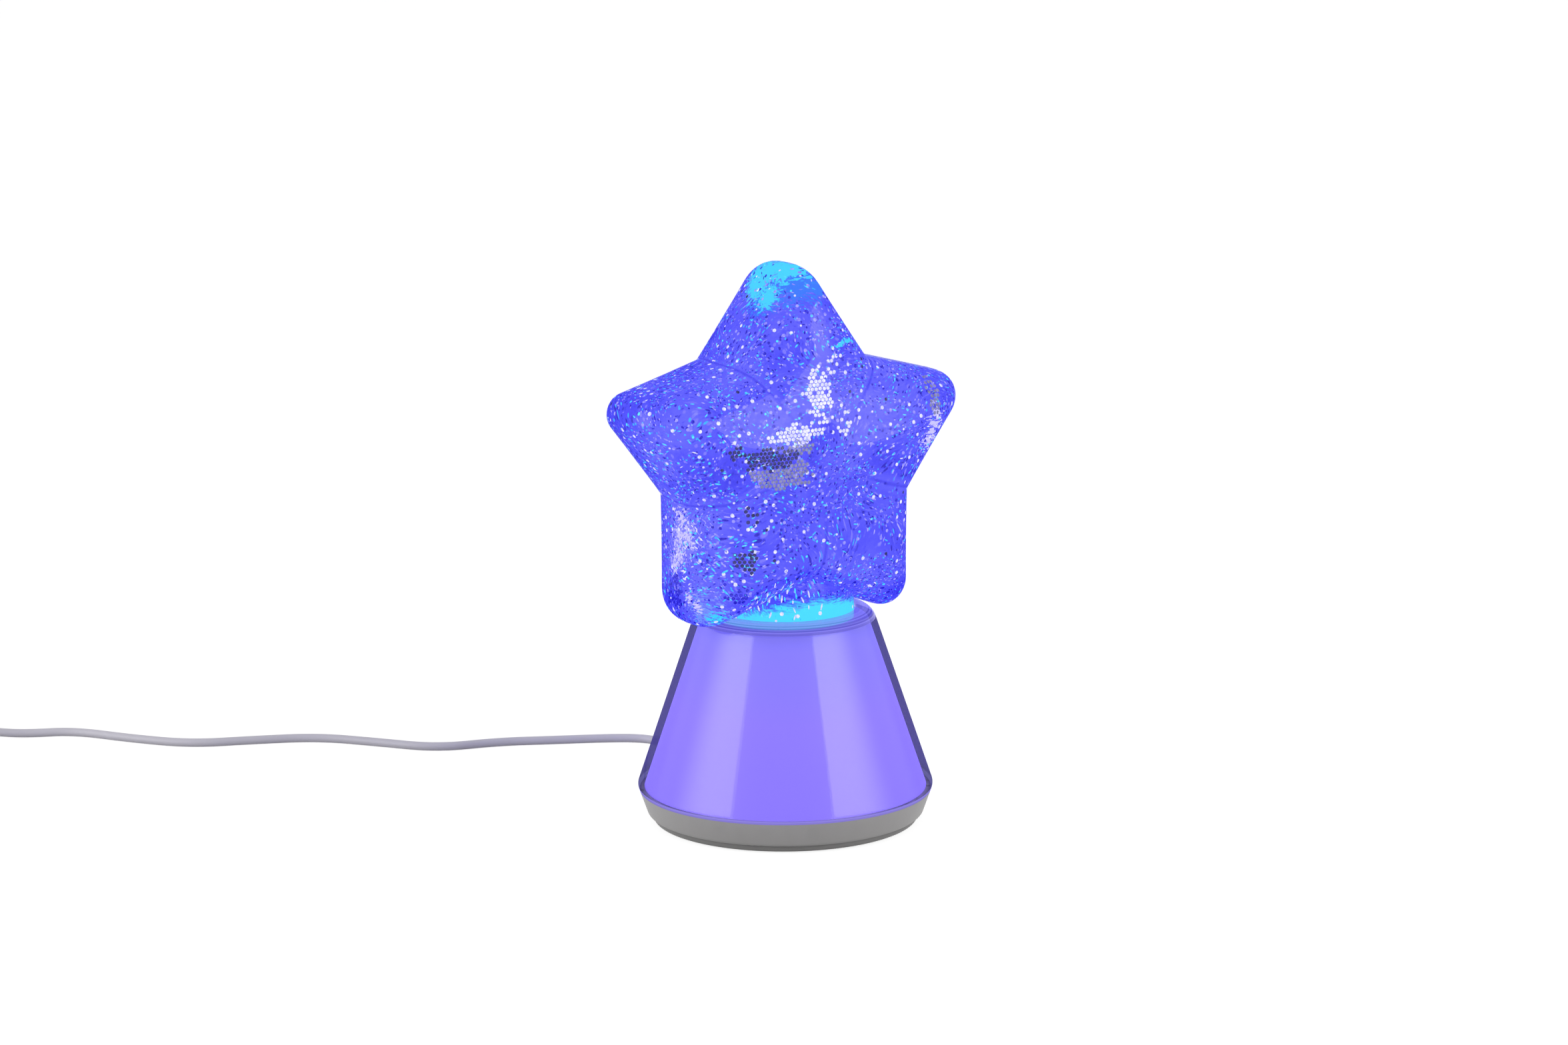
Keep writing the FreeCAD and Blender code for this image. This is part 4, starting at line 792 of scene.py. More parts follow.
def star_outline(inset, share):
    """The star's outline at one level, as points about its middle."""
    tip_scale = (1 - abs(share) ** STAR_TIP_SWELL) ** (1 / STAR_TIP_SWELL)
    valley_scale = (1 - abs(share) ** STAR_VALLEY_SWELL) ** (1 / STAR_VALLEY_SWELL)
    reach = (STAR_REACH - inset) * tip_scale
    valley = min((STAR_VALLEY - inset) * valley_scale, reach * STAR_MOST_VALLEY)
    tip_round = (STAR_TIP_ROUND - inset) * tip_scale
    valley_round = (STAR_VALLEY_ROUND + inset) * tip_scale
    side = Vector((math.cos(HALF_ARM), math.sin(HALF_ARM))) * valley
    tip_middle = reach - tip_round
    to_side = side - Vector((tip_middle, 0))
    lean = math.atan2(to_side.y, to_side.x) - math.acos(tip_round / to_side.length)
    touch = Vector((tip_middle + tip_round * math.cos(lean), tip_round * math.sin(lean)))
    flank = side - touch
    apex_along = touch.x - touch.y * flank.x / flank.y
    corners = []
    for arm in range(ARMS):
        turn = Matrix.Rotation(math.pi / 2 + 2 * HALF_ARM * arm, 2)
        corners.append((*(turn @ Vector((apex_along, 0))), tip_round))
        corners.append((*(turn @ side), valley_round))
    return corners


def even_outline(corners):
    """The outline with the same number of points on every arc and flank."""
    arcs = []
    for index, (x, y, rounding) in enumerate(corners):
        corner = Vector((x, y))
        back = (Vector(corners[index - 1][:2]) - corner).normalized()
        ahead = (Vector(corners[(index + 1) % len(corners)][:2]) - corner).normalized()
        steps = VALLEY_STEPS if index % 2 else TIP_STEPS
        arcs.append(arc(corner, back, ahead, back.angle(ahead) / 2, rounding, steps))
    points = []
    for here, there in zip(arcs, arcs[1:] + arcs[:1]):
        points += here
        points += [here[-1].lerp(there[0], step / FLANK_STEPS) for step in range(1, FLANK_STEPS)]
    return points


def star_mesh(inset):
    """Closed star: outlines from back to front, with a pole at each end."""
    work = bmesh.new()
    half_depth = STAR_HALF_DEPTH - inset
    rings = []
    for level in range(1, LEVELS):
        angle = math.pi * (level / LEVELS - 0.5)
        share = math.copysign(abs(math.sin(angle)) ** (2 / STAR_TIP_SWELL), angle)
        rings.append([work.verts.new((point.x, -share * half_depth, STAR_MIDDLE + point.y))
                      for point in even_outline(star_outline(inset, share))])
    back_pole = work.verts.new((0, half_depth, STAR_MIDDLE))
    front_pole = work.verts.new((0, -half_depth, STAR_MIDDLE))
    bridge(work, rings)
    for index in range(len(rings[0])):
        after = (index + 1) % len(rings[0])
        work.faces.new((back_pole, rings[0][after], rings[0][index]))
        work.faces.new((front_pole, rings[-1][index], rings[-1][after]))
    bmesh.ops.recalc_face_normals(work, faces=work.faces)
    return work


def neck_mesh(inset, bottom):
    """Closed neck: a straight tube that narrows where it grows into the star."""
    work = bmesh.new()
    rings = []
    for radius, height in ((NECK_RADIUS - inset, bottom), (NECK_RADIUS - inset, NECK_STRAIGHT_TOP),
                           (NECK_ROOT_RADIUS - inset, NECK_ROOT_HEIGHT)):
        rings.append([work.verts.new((radius * math.cos(2 * math.pi * step / ROUND_STEPS),
                                      radius * math.sin(2 * math.pi * step / ROUND_STEPS), height))
                      for step in range(ROUND_STEPS)])
    bridge(work, rings)
    work.faces.new(list(reversed(rings[0])))
    work.faces.new(rings[-1])
    bmesh.ops.recalc_face_normals(work, faces=work.faces)
    return work


def combine(base, tool, operation):
    """Join the tool to the base or take it away, and drop the tool."""
    change = base.modifiers.new("combine", "BOOLEAN")
    change.operation = operation
    change.solver = "EXACT"
    change.object = tool
    change.material_mode = "TRANSFER"
    bpy.context.view_layer.update()
    mesh = bpy.data.meshes.new_from_object(base.evaluated_get(bpy.context.evaluated_depsgraph_get()))
    base.modifiers.clear()
    base.data = mesh
    bpy.data.objects.remove(tool)


def star_on_neck(name, inset, bottom, material):
    """The closed shape of star and neck, drawn in by an inset."""
    star = made(name, star_mesh(inset), material)
    combine(star, made(name + " neck", neck_mesh(inset, bottom), material), "UNION")
    return star


def vessel_skin_painted_rim():
    """Clear polished plastic with liquid right behind it, and a painted dark rim where it is seen edge
    on.
    """
    material, tree = empty_material("vessel skin with painted rim")
    through = linked(tree, "BsdfRefraction", Color=WHITE, Roughness=0.0, IOR=SKIN_IOR)
    gloss = ranged(split_up(on_piece(tree))["Z"], NECK_STRAIGHT_TOP,
                   NECK_STRAIGHT_TOP + GLOSS_FADE, 0.0, SKIN_GLOSS)
    face = blend(gloss, through.outputs[0], mirror(tree, 0.03))
    facing = linked(tree, "LayerWeight", Blend=0.5).outputs["Facing"]
    # A dark surface: painted shade for the rim where the skin is seen edge on.
    painted_dark_edge = surface(tree, Base_Color=(0.05, 0.045, 0.6, 1), Roughness=0.2)
    return finished(material, blend(eased(facing, *SKIN_DARK_RIM, SKIN_DARK_RIM_COVER), face, painted_dark_edge))


wet_wall, wet_tree = empty_material("wetted wall")
finished(wet_wall, clear(wet_tree))
vessel = star_on_neck("vessel", 0, vessel_bottom, vessel_skin_painted_rim())
combine(vessel, star_on_neck("hollow", STAR_WALL, vessel_bottom - CUT_PAST, wet_wall), "DIFFERENCE")
smooth(vessel, SMOOTH_ANGLE)
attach(vessel, "lamp")
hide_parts("star_vessel")


# Cap with a rubber ring that closes the neck, and the stirrer that turns on a steel pin in it
# and carries two magnets of its own.
carried(white_moulding, "vessel_cap")
carried(foot_rubber, "seal_ring")
carried(ground_steel, "stirrer_pin")
carried(moulded("stirrer moulding", (0.7, 0.71, 0.72), 0.35), "stirrer")
carried(magnet_nickel, "stirrer_magnets")


# Liquid: it fills the star and the neck and carries the light of the board under it, cyan in
# the neck and violet blue in the star, clouded and streaked by the fine glitter deep in it.
LIQUID_INSET = 0.0028
LIQUID_BOTTOM = 0.0812
AXIS_GAP = 0.0004
STIRRER_ROOM_RADIUS = 0.019
STIRRER_ROOM_TOP = 0.0965
BODY_TONES = (
    (0.36, (0.042, 0.04, 0.84, 1)),
    (0.5, (0.075, 0.075, 0.95, 1)),
    (0.66, (0.112, 0.115, 1, 1)),
)
SWAY = 0.05
FLOW_TURN = (0.2, 0.9, 0.3)
FLOW_SCALE = (260, 700, 1100)
LITTLE_SWAY = 0.012
STREAK_COVER = 0.65
STREAK_UNEVEN = 0.012
NECK_GLOW = (0.075, 0.69, 0.98, 1)
GLOW_FULL, GLOW_END = 0.0925, 0.0965
GLOW_CORE, GLOW_REACH = 0.026, 0.034
GLOW_DROP = 8.3
CREASE_COVER = 0.6
CREASE_START, CREASE_FULL = 0.014, 0.03
FLECK_EDGE = (0.46, 0.34)
PATCH_END, PATCH_FULL = 1.1, 0.85

# Streaks: the noise where one begins and is full, and its colour. Flecks: size, the share of
# cells left empty, colour. Creases, a pale painted highlight and a dark painted shade along the
# valleys: half width of the full line and of its fade, colour.
STREAKS = ((0.58, 0.74, (0.3, 0.3, 1, 1)), (0.44, 0.3, (0.02, 0.015, 0.6, 1)))
FLECKS = (
    (0.001, 0.9, (0.04, 0.42, 0.95, 1)),
    (0.0013, 0.84, (0.018, 0.01, 0.55, 1)),
    (0.0009, 0.92, (0.4, 0.38, 1, 1)),
    (0.0017, 0.85, (0.18, 0.17, 1, 1)),
)
CREASE_SHADE_AND_HIGHLIGHT = ((0.001, 0.0042, (0.11, 0.11, 1, 1)), (0.0002, 0.0011, (0.03, 0.025, 0.75, 1)))

# Patches of colour on the wall: how ragged they are against their radius, their colour, and
# the middle and radius of each. Later ones lie over earlier ones.
TIP_BLUE = (0.03, 0.17, 0.96, 1)
CYAN = (0.045, 0.6, 1, 1)
LEG_VIOLET = (0.17, 0.17, 1, 1)
LEG_BLUE = (0.17, 0.26, 1, 1)
PALE = (0.56, 0.53, 1, 1)
ROUGH_EDGE = 3.4
BROKEN_UP = 9
GLOW_PATCHES = (
    (ROUGH_EDGE, TIP_BLUE, ((-0.0018, -0.015, 0.2215, 0.01), (-0.01, -0.006, 0.215, 0.0085))),
    (ROUGH_EDGE, CYAN, (
        (-0.0051, 0.008, 0.2215, 0.0058), (-0.0038, 0.001, 0.2236, 0.007),
        (-0.0011, -0.0075, 0.2243, 0.0068), (-0.0082, 0.003, 0.2176, 0.007),
        (-0.01, -0.007, 0.215, 0.0055), (0.0078, -0.0264, 0.1964, 0.0007),
        (0.009, -0.026, 0.1968, 0.0008), (0.0103, -0.0254, 0.1972, 0.0009),
        (0.0117, -0.0246, 0.1974, 0.001), (0.0131, -0.0237, 0.1976, 0.0011),
        (0.0146, -0.0227, 0.1977, 0.0011), (0.016, -0.0218, 0.1974, 0.001),
        (0.0172, -0.0208, 0.1966, 0.0009))),
    (ROUGH_EDGE, LEG_VIOLET, ((-0.0455, -0.001, 0.1205, 0.0095),)),
    (BROKEN_UP, PALE, (
        (-0.0447, 0.001, 0.13, 0.003), (-0.0451, -0.0048, 0.1222, 0.003),
        (-0.0452, 0.0015, 0.1215, 0.0032), (-0.0456, 0.0022, 0.114, 0.0034),
        (-0.0457, 0.0048, 0.1095, 0.0026))),
    (BROKEN_UP, LEG_BLUE, ((-0.043, -0.014, 0.0945, 0.0052),)),
    (BROKEN_UP, PALE, ((-0.0461, -0.007, 0.0985, 0.0016), (-0.0452, -0.012, 0.0955, 0.0015))),
    (BROKEN_UP, CYAN, ((-0.04, -0.0153, 0.0918, 0.0026),)),
    (BROKEN_UP, PALE, (
        (0.0525, -0.024, 0.156, 0.0034), (0.0539, -0.0242, 0.1608, 0.003),
        (0.0545, -0.024, 0.1664, 0.0022))),
)


def flecked(place, under, size, share, colour):
    """Scattered round flecks of one size and colour over what is there."""
    cells = linked(place.id_data, "TexVoronoi", Vector=place, Scale=1 / size, Randomness=1.0).outputs
    chance = linked(place.id_data, "SeparateColor", cells["Color"]).outputs[0]
    disc = eased(cells["Distance"], *FLECK_EDGE)
    picked = maths("MULTIPLY", maths("GREATER_THAN", chance, share), disc)
    return mixed(picked, under, colour)


def liquid_colour(tree):
    """Violet blue with soft clouds, flow streaks, fine flecks, and cyan near the neck and tip."""
    place = on_piece(tree)
    shown = ramp(noise(place, scale=32.0, detail=5.0, roughness=0.6)["Fac"], *BODY_TONES)

    sway = noise(place, scale=24.0, detail=1.0)["Color"]
    swayed = vectors("ADD", place, vectors("SCALE", sway, SWAY))
    flow = linked(tree, "Mapping", Vector=swayed, Rotation=FLOW_TURN, Scale=FLOW_SCALE)
    streak = noise(flow.outputs[0], scale=1.0, detail=3.0, roughness=0.65)["Fac"]
    for begin, full, colour in STREAKS:
        shown = mixed(eased(streak, begin, full, STREAK_COVER), shown, colour)
    for size, share, colour in FLECKS:
        shown = flecked(swayed, shown, size, share, colour)

    ragged = maths("SUBTRACT", streak, 0.5)
    for raggedness, colour, spots in GLOW_PATCHES:
        for *middle, radius in spots:
            away = vectors("DISTANCE", place, middle)
            rough_away = maths("MULTIPLY_ADD", ragged, raggedness * radius, away)
            patch = eased(rough_away, PATCH_END * radius, PATCH_FULL * radius)
            shown = mixed(patch, shown, colour)

    # Crease lines along the valleys between the arms: a painted highlight and a painted shade that stand
    # in for the relief of the swelling arms.
    wander = vectors("MULTIPLY_ADD", sway, (LITTLE_SWAY,) * 3, (-LITTLE_SWAY / 2,) * 3)
    from_middle = vectors("SUBTRACT", vectors("ADD", place, wander), (0, 0, STAR_MIDDLE))
    sides = split_up(from_middle)
    bearing = maths("ADD", maths("ARCTAN2", sides["X"], sides["Z"]), HALF_ARM)
    out_by = vectors("LENGTH", vectors("MULTIPLY", from_middle, (1, 0, 1)))
    beside = maths("MULTIPLY", maths("PINGPONG", bearing, HALF_ARM), out_by)
    begins = eased(out_by, CREASE_START, CREASE_FULL)
    for full, fade, colour in CREASE_SHADE_AND_HIGHLIGHT:
        line = maths("MULTIPLY", eased(beside, fade, full, CREASE_COVER), begins)
        shown = mixed(line, shown, colour)

    axes = split_up(place)
    legs = maths("MULTIPLY", axes["X"], axes["X"])
    under_legs = maths("MULTIPLY_ADD", legs, GLOW_DROP, axes["Z"])
    height = maths("MULTIPLY_ADD", ragged, STREAK_UNEVEN, under_legs)
    around = vectors("LENGTH", vectors("MULTIPLY", place, (1, 1, 0)))
    glow = maths("MULTIPLY", eased(height, GLOW_END, GLOW_FULL), eased(around, GLOW_REACH, GLOW_CORE))
    return mixed(glow, shown, NECK_GLOW)


liquid_lit = glowing("lit liquid", liquid_colour, 1.0, 0.9, gloss=0.0)
liquid = star_on_neck("liquid", LIQUID_INSET, LIQUID_BOTTOM, liquid_lit)
smooth(liquid, SMOOTH_ANGLE)
drift_surface = liquid.data.copy()
stirrer_room = turned("stirrer room", rounded_loop([
    (AXIS_GAP, LIQUID_BOTTOM - CUT_PAST, 0),
    (STIRRER_ROOM_RADIUS, LIQUID_BOTTOM - CUT_PAST, 0),
    (STIRRER_ROOM_RADIUS, STIRRER_ROOM_TOP, 0),
    (AXIS_GAP, STIRRER_ROOM_TOP, 0),
]), liquid_lit, ROUND_STEPS)
combine(liquid, stirrer_room, "DIFFERENCE")
smooth(liquid, SMOOTH_ANGLE)
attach(liquid, "lamp")


# Glitter: flat six-sided flakes of dyed and metallised film, about 1.5 mm wide, that drift in
# the liquid just inside the wall. Loose ones lie everywhere, and dense drifts gather in places.
FLAKE_THICK = 0.00008
FLAKE_LIFT = 0.00028
FLAKE_LEAN = math.radians(9)
NECK_CLEARANCE = 0.0008
LOOSE_EDGE = (1.5, 1.25)
DRIFT_EDGE = 1.1
DRIFT_EDGE_SLOPE = 5.0
DRIFT_RAG = 1.3
DRIFT_LEAN = math.radians(3)
DRIFT_TURN = (math.radians(26), math.radians(34))
DRIFT_STRAY = 0.00012
DRIFT_ROWS = 41
DRIFT_PITCH = 0.00168
DRIFT_FLAKE = 0.00162
DRIFT_SIGHT = 0.12


def flake_tree(name, vector_names, number_names):
    """A tree that makes flakes on a mesh, and what it is given, by name."""
    tree = bpy.data.node_groups.new(name, "GeometryNodeTree")
    tree.is_modifier = True
    tree.interface.new_socket("Geometry", in_out="OUTPUT", socket_type="NodeSocketGeometry")
    for kind, names in (("Geometry", ("Geometry",)), ("Vector", vector_names), ("Float", number_names),
                        ("Int", ("Seed",)), ("Material", ("Finish",))):
        for given_name in names:
            tree.interface.new_socket(given_name, in_out="INPUT", socket_type="NodeSocket" + kind)
    return tree, tree.nodes.new("NodeGroupInput").outputs


def drawn(kind, low, high, seed):
    """A value drawn at random for each flake."""
    return active(linked(seed.id_data, "FunctionNodeRandomValue", data_type=kind, Min=low, Max=high,
                         Seed=seed).outputs, "Value")


def from_oval(place, middle, reach):
    """How far a place lies from the middle of an oval, with 1 at the oval's edge."""
    off = vectors("SUBTRACT", place, middle)
    return vectors("LENGTH", vectors("DIVIDE", off, reach))


def tipped(given, rotation, low_turn, high_turn):
    """A rotation with a lean and a turn drawn at random."""
    tree = rotation.id_data
    less = maths("MULTIPLY", given["Lean"], -1)
    low = linked(tree, "CombineXYZ", less, less, low_turn)
    high = linked(tree, "CombineXYZ", given["Lean"], given["Lean"], high_turn)
    tip = linked(tree, "FunctionNodeEulerToRotation",
                 drawn("FLOAT_VECTOR", low.outputs[0], high.outputs[0], given["Seed"]))
    return linked(tree, "FunctionNodeRotateRotation", rotation, tip.outputs[0],
                  rotation_space="LOCAL").outputs[0]


def flake(given):
    """One flat six-sided prism."""
    radius = maths("MULTIPLY", given["Width"], 0.5)
    return linked(radius.id_data, "GeometryNodeMeshCylinder", fill_type="NGON", Vertices=6,
                  Radius=radius, Depth=given["Thick"]).outputs["Mesh"]


def put_out(given, flakes):
    """The tree, which now gives out the flakes as a mesh of one film."""
    tree = flakes.id_data
    real = linked(tree, "GeometryNodeRealizeInstances", flakes)
    finish = linked(tree, "GeometryNodeSetMaterial", Geometry=real.outputs[0], Material=given["Finish"])
    linked(tree, "NodeGroupOutput", finish.outputs[0])
    return tree


def glitter_tree():
    """Scatter flat prisms over a surface, in an oval patch with a ragged edge."""
    tree, given = flake_tree("glitter", ("Middle", "Reach"), (
        "Density", "Gap", "Width", "Least", "Most", "Slim", "Swing", "Thick", "Lift", "Lean", "Neck"))
    here = linked(tree, "GeometryNodeInputPosition").outputs[0]
    away = maths("ADD", from_oval(here, given["Middle"], given["Reach"]),
                 noise(here, scale=260.0, detail=1.0)["Fac"])
    around = vectors("LENGTH", vectors("MULTIPLY", here, (1, 1, 0)))
    beyond = maths("GREATER_THAN", around, NECK_RADIUS - LIQUID_INSET + NECK_CLEARANCE)
    over = maths("GREATER_THAN", split_up(here)["Z"], NECK_STRAIGHT_TOP)
    off_neck = maths("MAXIMUM", maths("MAXIMUM", beyond, over), given["Neck"])
    spread = linked(tree, "GeometryNodeDistributePointsOnFaces", distribute_method="POISSON",
                    Mesh=given["Geometry"], Distance_Min=given["Gap"], Density_Max=given["Density"],
                    Density_Factor=maths("MULTIPLY", ranged(away, *LOOSE_EDGE), off_neck),
                    Seed=given["Seed"]).outputs
    lifted = linked(tree, "GeometryNodeSetPosition", Geometry=spread["Points"],
                    Offset=vectors("SCALE", spread["Normal"], given["Lift"]))
    follow = linked(tree, "FunctionNodeAlignRotationToVector", axis="X", pivot_axis="Z",
                    Rotation=spread["Rotation"],
                    Vector=vectors("CROSS_PRODUCT", spread["Normal"], (0, 0, 1)))
    turn = tipped(given, follow.outputs[0], maths("MULTIPLY", given["Swing"], -1), given["Swing"])
    size = drawn("FLOAT", given["Least"], given["Most"], given["Seed"])
    scale = linked(tree, "CombineXYZ", size, maths("MULTIPLY", size, given["Slim"]), 1.0)
    put = linked(tree, "GeometryNodeInstanceOnPoints", Points=lifted.outputs[0], Instance=flake(given),
                 Rotation=turn, Scale=scale.outputs[0])
    return put_out(given, put.outputs[0])


def drift_tree():
    """Lay flakes on a surface in honeycomb rows, in one ragged oval and clear of another."""
    tree, given = flake_tree("drift", (
        "Facing", "Grid", "Middle", "Reach", "Bare Middle", "Bare Reach"), (
        "Pitch", "Filled", "Width", "Thick", "Lift", "Lean"))
    row_step = maths("MULTIPLY", given["Pitch"], math.sqrt(0.75))
    rows = linked(tree, "GeometryNodeMeshGrid", Vertices_X=DRIFT_ROWS, Vertices_Y=DRIFT_ROWS,
                  Size_X=maths("MULTIPLY", given["Pitch"], DRIFT_ROWS - 1),
                  Size_Y=maths("MULTIPLY", row_step, DRIFT_ROWS - 1))
    here = linked(tree, "GeometryNodeInputPosition").outputs[0]
    row = maths("ROUND", maths("DIVIDE", split_up(here)["Y"], row_step))
    shift = linked(tree, "CombineXYZ", maths("MULTIPLY", maths("PINGPONG", row, 1),
                                             maths("MULTIPLY", given["Pitch"], 0.5)))
    upright = linked(tree, "FunctionNodeAlignRotationToVector", axis="Z", Vector=given["Facing"])
    stood = linked(tree, "FunctionNodeRotateVector", Rotation=upright.outputs[0],
                   Vector=vectors("ADD", here, shift.outputs[0]))
    ray = linked(tree, "GeometryNodeRaycast", Target_Geometry=given["Geometry"], Ray_Length=DRIFT_SIGHT,
                 Source_Position=vectors("ADD", stood.outputs[0], given["Grid"]),
                 Ray_Direction=vectors("SCALE", given["Facing"], -1)).outputs
    met = ray["Hit Position"]
    rag = maths("MULTIPLY_ADD", noise(met, scale=230.0, detail=1.0)["Fac"], DRIFT_RAG, -DRIFT_RAG / 2)
    off_middle = maths("ADD", from_oval(met, given["Middle"], given["Reach"]), rag)
    inner = maths("MULTIPLY", maths("SUBTRACT", DRIFT_EDGE, off_middle), DRIFT_EDGE_SLOPE)
    wanted = maths("MULTIPLY", maths("MINIMUM", inner, 1.0), given["Filled"])
    kept = maths("LESS_THAN", drawn("FLOAT", 0.0, 1.0, given["Seed"]), wanted)
    off_bare = maths("ADD", from_oval(met, given["Bare Middle"], given["Bare Reach"]), rag)
    free = maths("GREATER_THAN", off_bare, 1.0)
    shown = maths("MULTIPLY", maths("MULTIPLY", kept, free), ray["Is Hit"])

    flat = linked(tree, "FunctionNodeAlignRotationToVector", axis="Z", Rotation=upright.outputs[0],
                  Vector=ray["Hit Normal"])
    put = linked(tree, "GeometryNodeInstanceOnPoints", Points=rows.outputs["Mesh"], Selection=shown,
                 Instance=flake(given), Rotation=tipped(given, flat.outputs[0], *DRIFT_TURN))
    stray = drawn("FLOAT_VECTOR", (-DRIFT_STRAY, 0, -DRIFT_STRAY), (DRIFT_STRAY, 0, DRIFT_STRAY),
                  given["Seed"])
    raised = vectors("ADD", met, vectors("SCALE", ray["Hit Normal"], given["Lift"]))
    laid = linked(tree, "GeometryNodeSetPosition", Geometry=put.outputs[0], Position=raised, Offset=stray)
    return put_out(given, laid.outputs[0])


def grown(tree, values):
    """What a tree makes on the liquid's surface, as a plain mesh."""
    carrier = placed("carrier", drift_surface.copy())
    carrier.data.materials.clear()
    change = carrier.modifiers.new("glitter", "NODES")
    change.node_group = tree
    for item in tree.interface.items_tree:
        if item.in_out == "INPUT" and item.name in values:
            change[item.identifier] = values[item.name]
    bpy.context.view_layer.update()
    mesh = bpy.data.meshes.new_from_object(
        carrier.evaluated_get(bpy.context.evaluated_depsgraph_get()))
    bpy.data.objects.remove(carrier)
    return mesh


def flake_film(name, low, high, strength=0.95):
    """Film of one colour whose flakes differ a little in brightness, and glow with painted light."""
    return glowing(name, clouded(low, high, 900.0), strength, 0.4, gloss=0.1)


# The films glow: painted light for the board's light that the flakes send back from inside the liquid.
FILMS = {
    "white_glitter": flake_film("white film", (0.55, 0.56, 1, 1), (0.88, 0.88, 1, 1)),
    "silver_glitter": flake_film("silver film", (0.15, 0.155, 0.36, 1), (0.28, 0.28, 0.55, 1)),
    "black_glitter": flake_film("black film", (0.004, 0.006, 0.09, 1), (0.035, 0.035, 0.24, 1)),
    "navy_glitter": flake_film("navy film", (0.008, 0.004, 0.5, 1), (0.03, 0.025, 0.8, 1)),
    "cyan_glitter": flake_film("cyan film", (0.02, 0.48, 0.98, 1), (0.1, 0.82, 1, 1), 0.98),
    "violet_glitter": flake_film("violet film", (0.2, 0.19, 1, 1), (0.38, 0.37, 1, 1)),
}

# Loose flakes. Shapes: breadth against length, swing, least and most size. Rows: middle and
# reach of the oval, flakes to the square metre, least gap, width, shape.
HEX = (1.0, math.pi, 0.9, 1.04)
SLIM = (0.26, 0.9, 0.4, 1.25)
UPRIGHT = (4.2, 0.45, 0.7, 1.3)
ALL_OVER = ((0, 0, STAR_MIDDLE), (1, 1, 1))
OVER_NECK = ((-0.015, -0.022, 0.0995), (0.015, 0.016, 0.0065))
NECK_SHARE_OF_WHITE = 0.3
LOOSE = {
    "white_glitter": (
        (ALL_OVER, 10000, 0.003, 0.00165, HEX),
        (ALL_OVER, 4000, 0.003, 0.001, HEX),
        (ALL_OVER, 5000, 0.0025, 0.0016, SLIM),
        (((-0.045, -0.006, 0.118), (0.007, 0.01, 0.017)), 90000, 0.0012, 0.0024, SLIM),
        (((0.0525, -0.024, 0.159), (0.005, 0.01, 0.008)), 120000, 0.0014, 0.0016, SLIM),
        (OVER_NECK, 80000, 0.0026, 0.0006, UPRIGHT),
    ),
    "black_glitter": ((ALL_OVER, 1200, 0.003, 0.0015, HEX),),
    "navy_glitter": (
        (ALL_OVER, 12000, 0.0024, 0.0015, HEX),
        (ALL_OVER, 7000, 0.0022, 0.001, HEX),
        (ALL_OVER, 9000, 0.0022, 0.0019, SLIM),
    ),
    "cyan_glitter": (
        (ALL_OVER, 6000, 0.0025, 0.0011, HEX),
        (ALL_OVER, 22000, 0.002, 0.0018, SLIM),
        (((-0.036, -0.016, 0.115), (0.016, 0.03, 0.024)), 60000, 0.0018, 0.0024, SLIM),
        (((-0.05, -0.014, 0.16), (0.02, 0.03, 0.022)), 26000, 0.002, 0.002, SLIM),
        (OVER_NECK, 200000, 0.0016, 0.0005, UPRIGHT),
    ),
    "violet_glitter": (
        (ALL_OVER, 9000, 0.0022, 0.0015, HEX),
        (ALL_OVER, 20000, 0.002, 0.0018, SLIM),
        (((-0.042, -0.01, 0.12), (0.012, 0.018, 0.018)), 90000, 0.0014, 0.0026, SLIM),
    ),
}

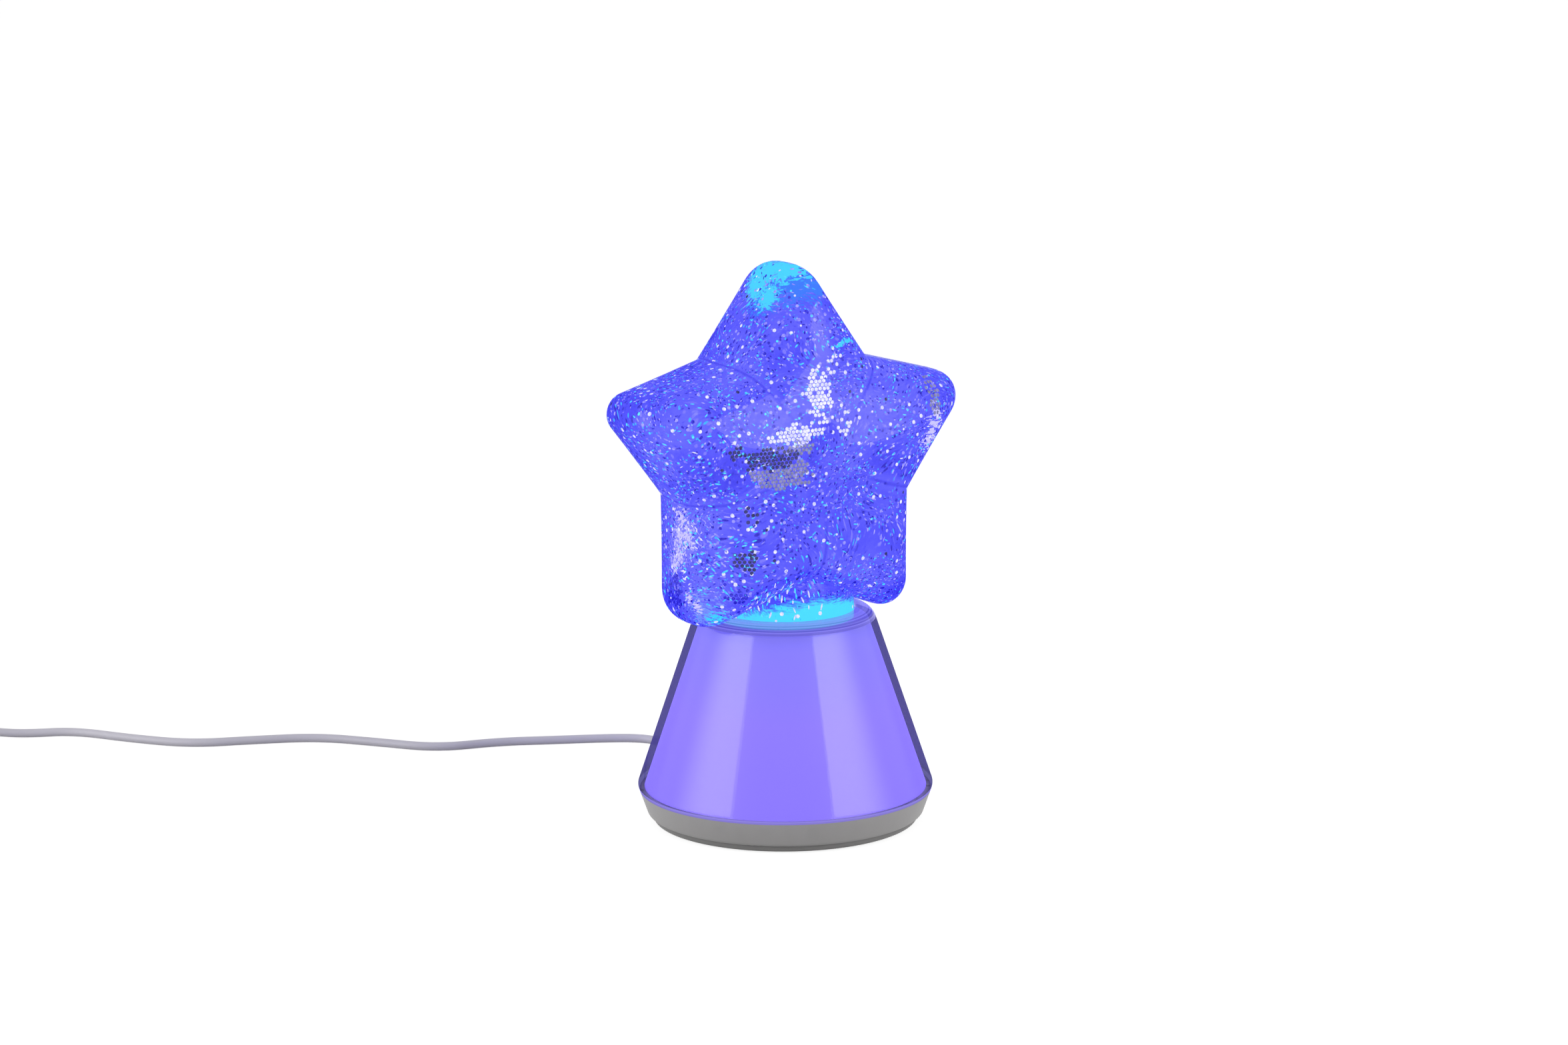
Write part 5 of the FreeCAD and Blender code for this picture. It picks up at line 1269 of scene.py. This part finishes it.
# Drifts. Grids: the way the rows face, and their middle. Rows: grid, middle and reach of the
# oval, the oval that is left bare, and the share of its places that is filled.
FRONT = (0, -1, 0)
HIGH_GRID = (FRONT, (-0.015, -0.06, 0.164))
LOW_GRID = (FRONT, (-0.03, -0.06, 0.112))
ARM_GRID = (FRONT, (0.052, -0.06, 0.172))
LEG_GRID = ((-1, 0, 0), (-0.085, 0.004, 0.098))
NOWHERE = ((0, 0, -1), (0.001, 0.001, 0.001))
BLACK_DRIFT = ((-0.025, -0.031, 0.1556), (0.0122, 0.02, 0.0044))
SILVER_DRIFT = ((-0.019, -0.031, 0.1505), (0.0125, 0.02, 0.0072))
DRIFTS = {
    "white_glitter": (
        (HIGH_GRID, ((-0.0023, -0.03, 0.179), (0.0056, 0.02, 0.0105)), NOWHERE, 0.8),
        (HIGH_GRID, ((0.0044, -0.028, 0.1942), (0.003, 0.02, 0.0085)), NOWHERE, 0.5),
        (HIGH_GRID, ((-0.0045, -0.031, 0.1662), (0.005, 0.02, 0.0034)), NOWHERE, 0.5),
        (HIGH_GRID, ((0.0092, -0.03, 0.168), (0.009, 0.02, 0.007)), NOWHERE, 0.15),
        (HIGH_GRID, ((-0.014, -0.031, 0.164), (0.0095, 0.02, 0.0042)), NOWHERE, 0.75),
        (LOW_GRID, ((-0.031, -0.026, 0.129), (0.0028, 0.02, 0.0028)), NOWHERE, 0.6),
    ),
    "silver_glitter": (
        (HIGH_GRID, SILVER_DRIFT, BLACK_DRIFT, 0.96),
        (HIGH_GRID, ((-0.0105, -0.031, 0.159), (0.0062, 0.02, 0.0036)), BLACK_DRIFT, 0.85),
        (ARM_GRID, ((0.0545, -0.024, 0.1725), (0.003, 0.02, 0.008)), NOWHERE, 0.9),
    ),
    "black_glitter": (
        (HIGH_GRID, BLACK_DRIFT, NOWHERE, 0.98),
        (HIGH_GRID, ((-0.0375, -0.03, 0.159), (0.0036, 0.02, 0.0026)), BLACK_DRIFT, 0.8),
        (LOW_GRID, ((-0.03, -0.029, 0.134), (0.0056, 0.02, 0.005)), NOWHERE, 0.25),
        (LOW_GRID, ((-0.0325, -0.027, 0.1155), (0.0042, 0.02, 0.0042)), NOWHERE, 0.9),
    ),
    "navy_glitter": (
        (LOW_GRID, ((-0.0345, -0.022, 0.101), (0.004, 0.02, 0.003)), NOWHERE, 0.7),
        (LEG_GRID, ((-0.05, 0.004, 0.0975), (0.01, 0.007, 0.0085)), NOWHERE, 0.6),
    ),
}
loose_tree = glitter_tree()
packed_tree = drift_tree()
seed = 0
for name, film in FILMS.items():
    flakes = bmesh.new()
    patches = []
    for (middle, reach), density, gap, width, (slim, swing, least, most) in LOOSE.get(name, ()):
        patches.append((loose_tree, {
            "Middle": middle, "Reach": reach, "Density": float(density), "Gap": gap, "Width": width,
            "Least": least, "Most": most, "Slim": slim, "Swing": swing, "Lean": FLAKE_LEAN,
            "Neck": 1.0 if slim > 1 else NECK_SHARE_OF_WHITE if name == "white_glitter" else 0.0,
        }))
    for (facing, grid), (middle, reach), (bare_middle, bare_reach), filled in DRIFTS.get(name, ()):
        patches.append((packed_tree, {
            "Facing": facing, "Grid": grid, "Pitch": DRIFT_PITCH, "Middle": middle, "Reach": reach,
            "Bare Middle": bare_middle, "Bare Reach": bare_reach, "Filled": filled,
            "Width": DRIFT_FLAKE, "Lean": DRIFT_LEAN,
        }))
    for tree, values in patches:
        seed += 1
        values.update({"Thick": FLAKE_THICK, "Lift": FLAKE_LIFT, "Seed": seed, "Finish": film})
        patch = grown(tree, values)
        flakes.from_mesh(patch)
        bpy.data.meshes.remove(patch)
    glitter = made(name, flakes, film)
    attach(glitter, "lamp")
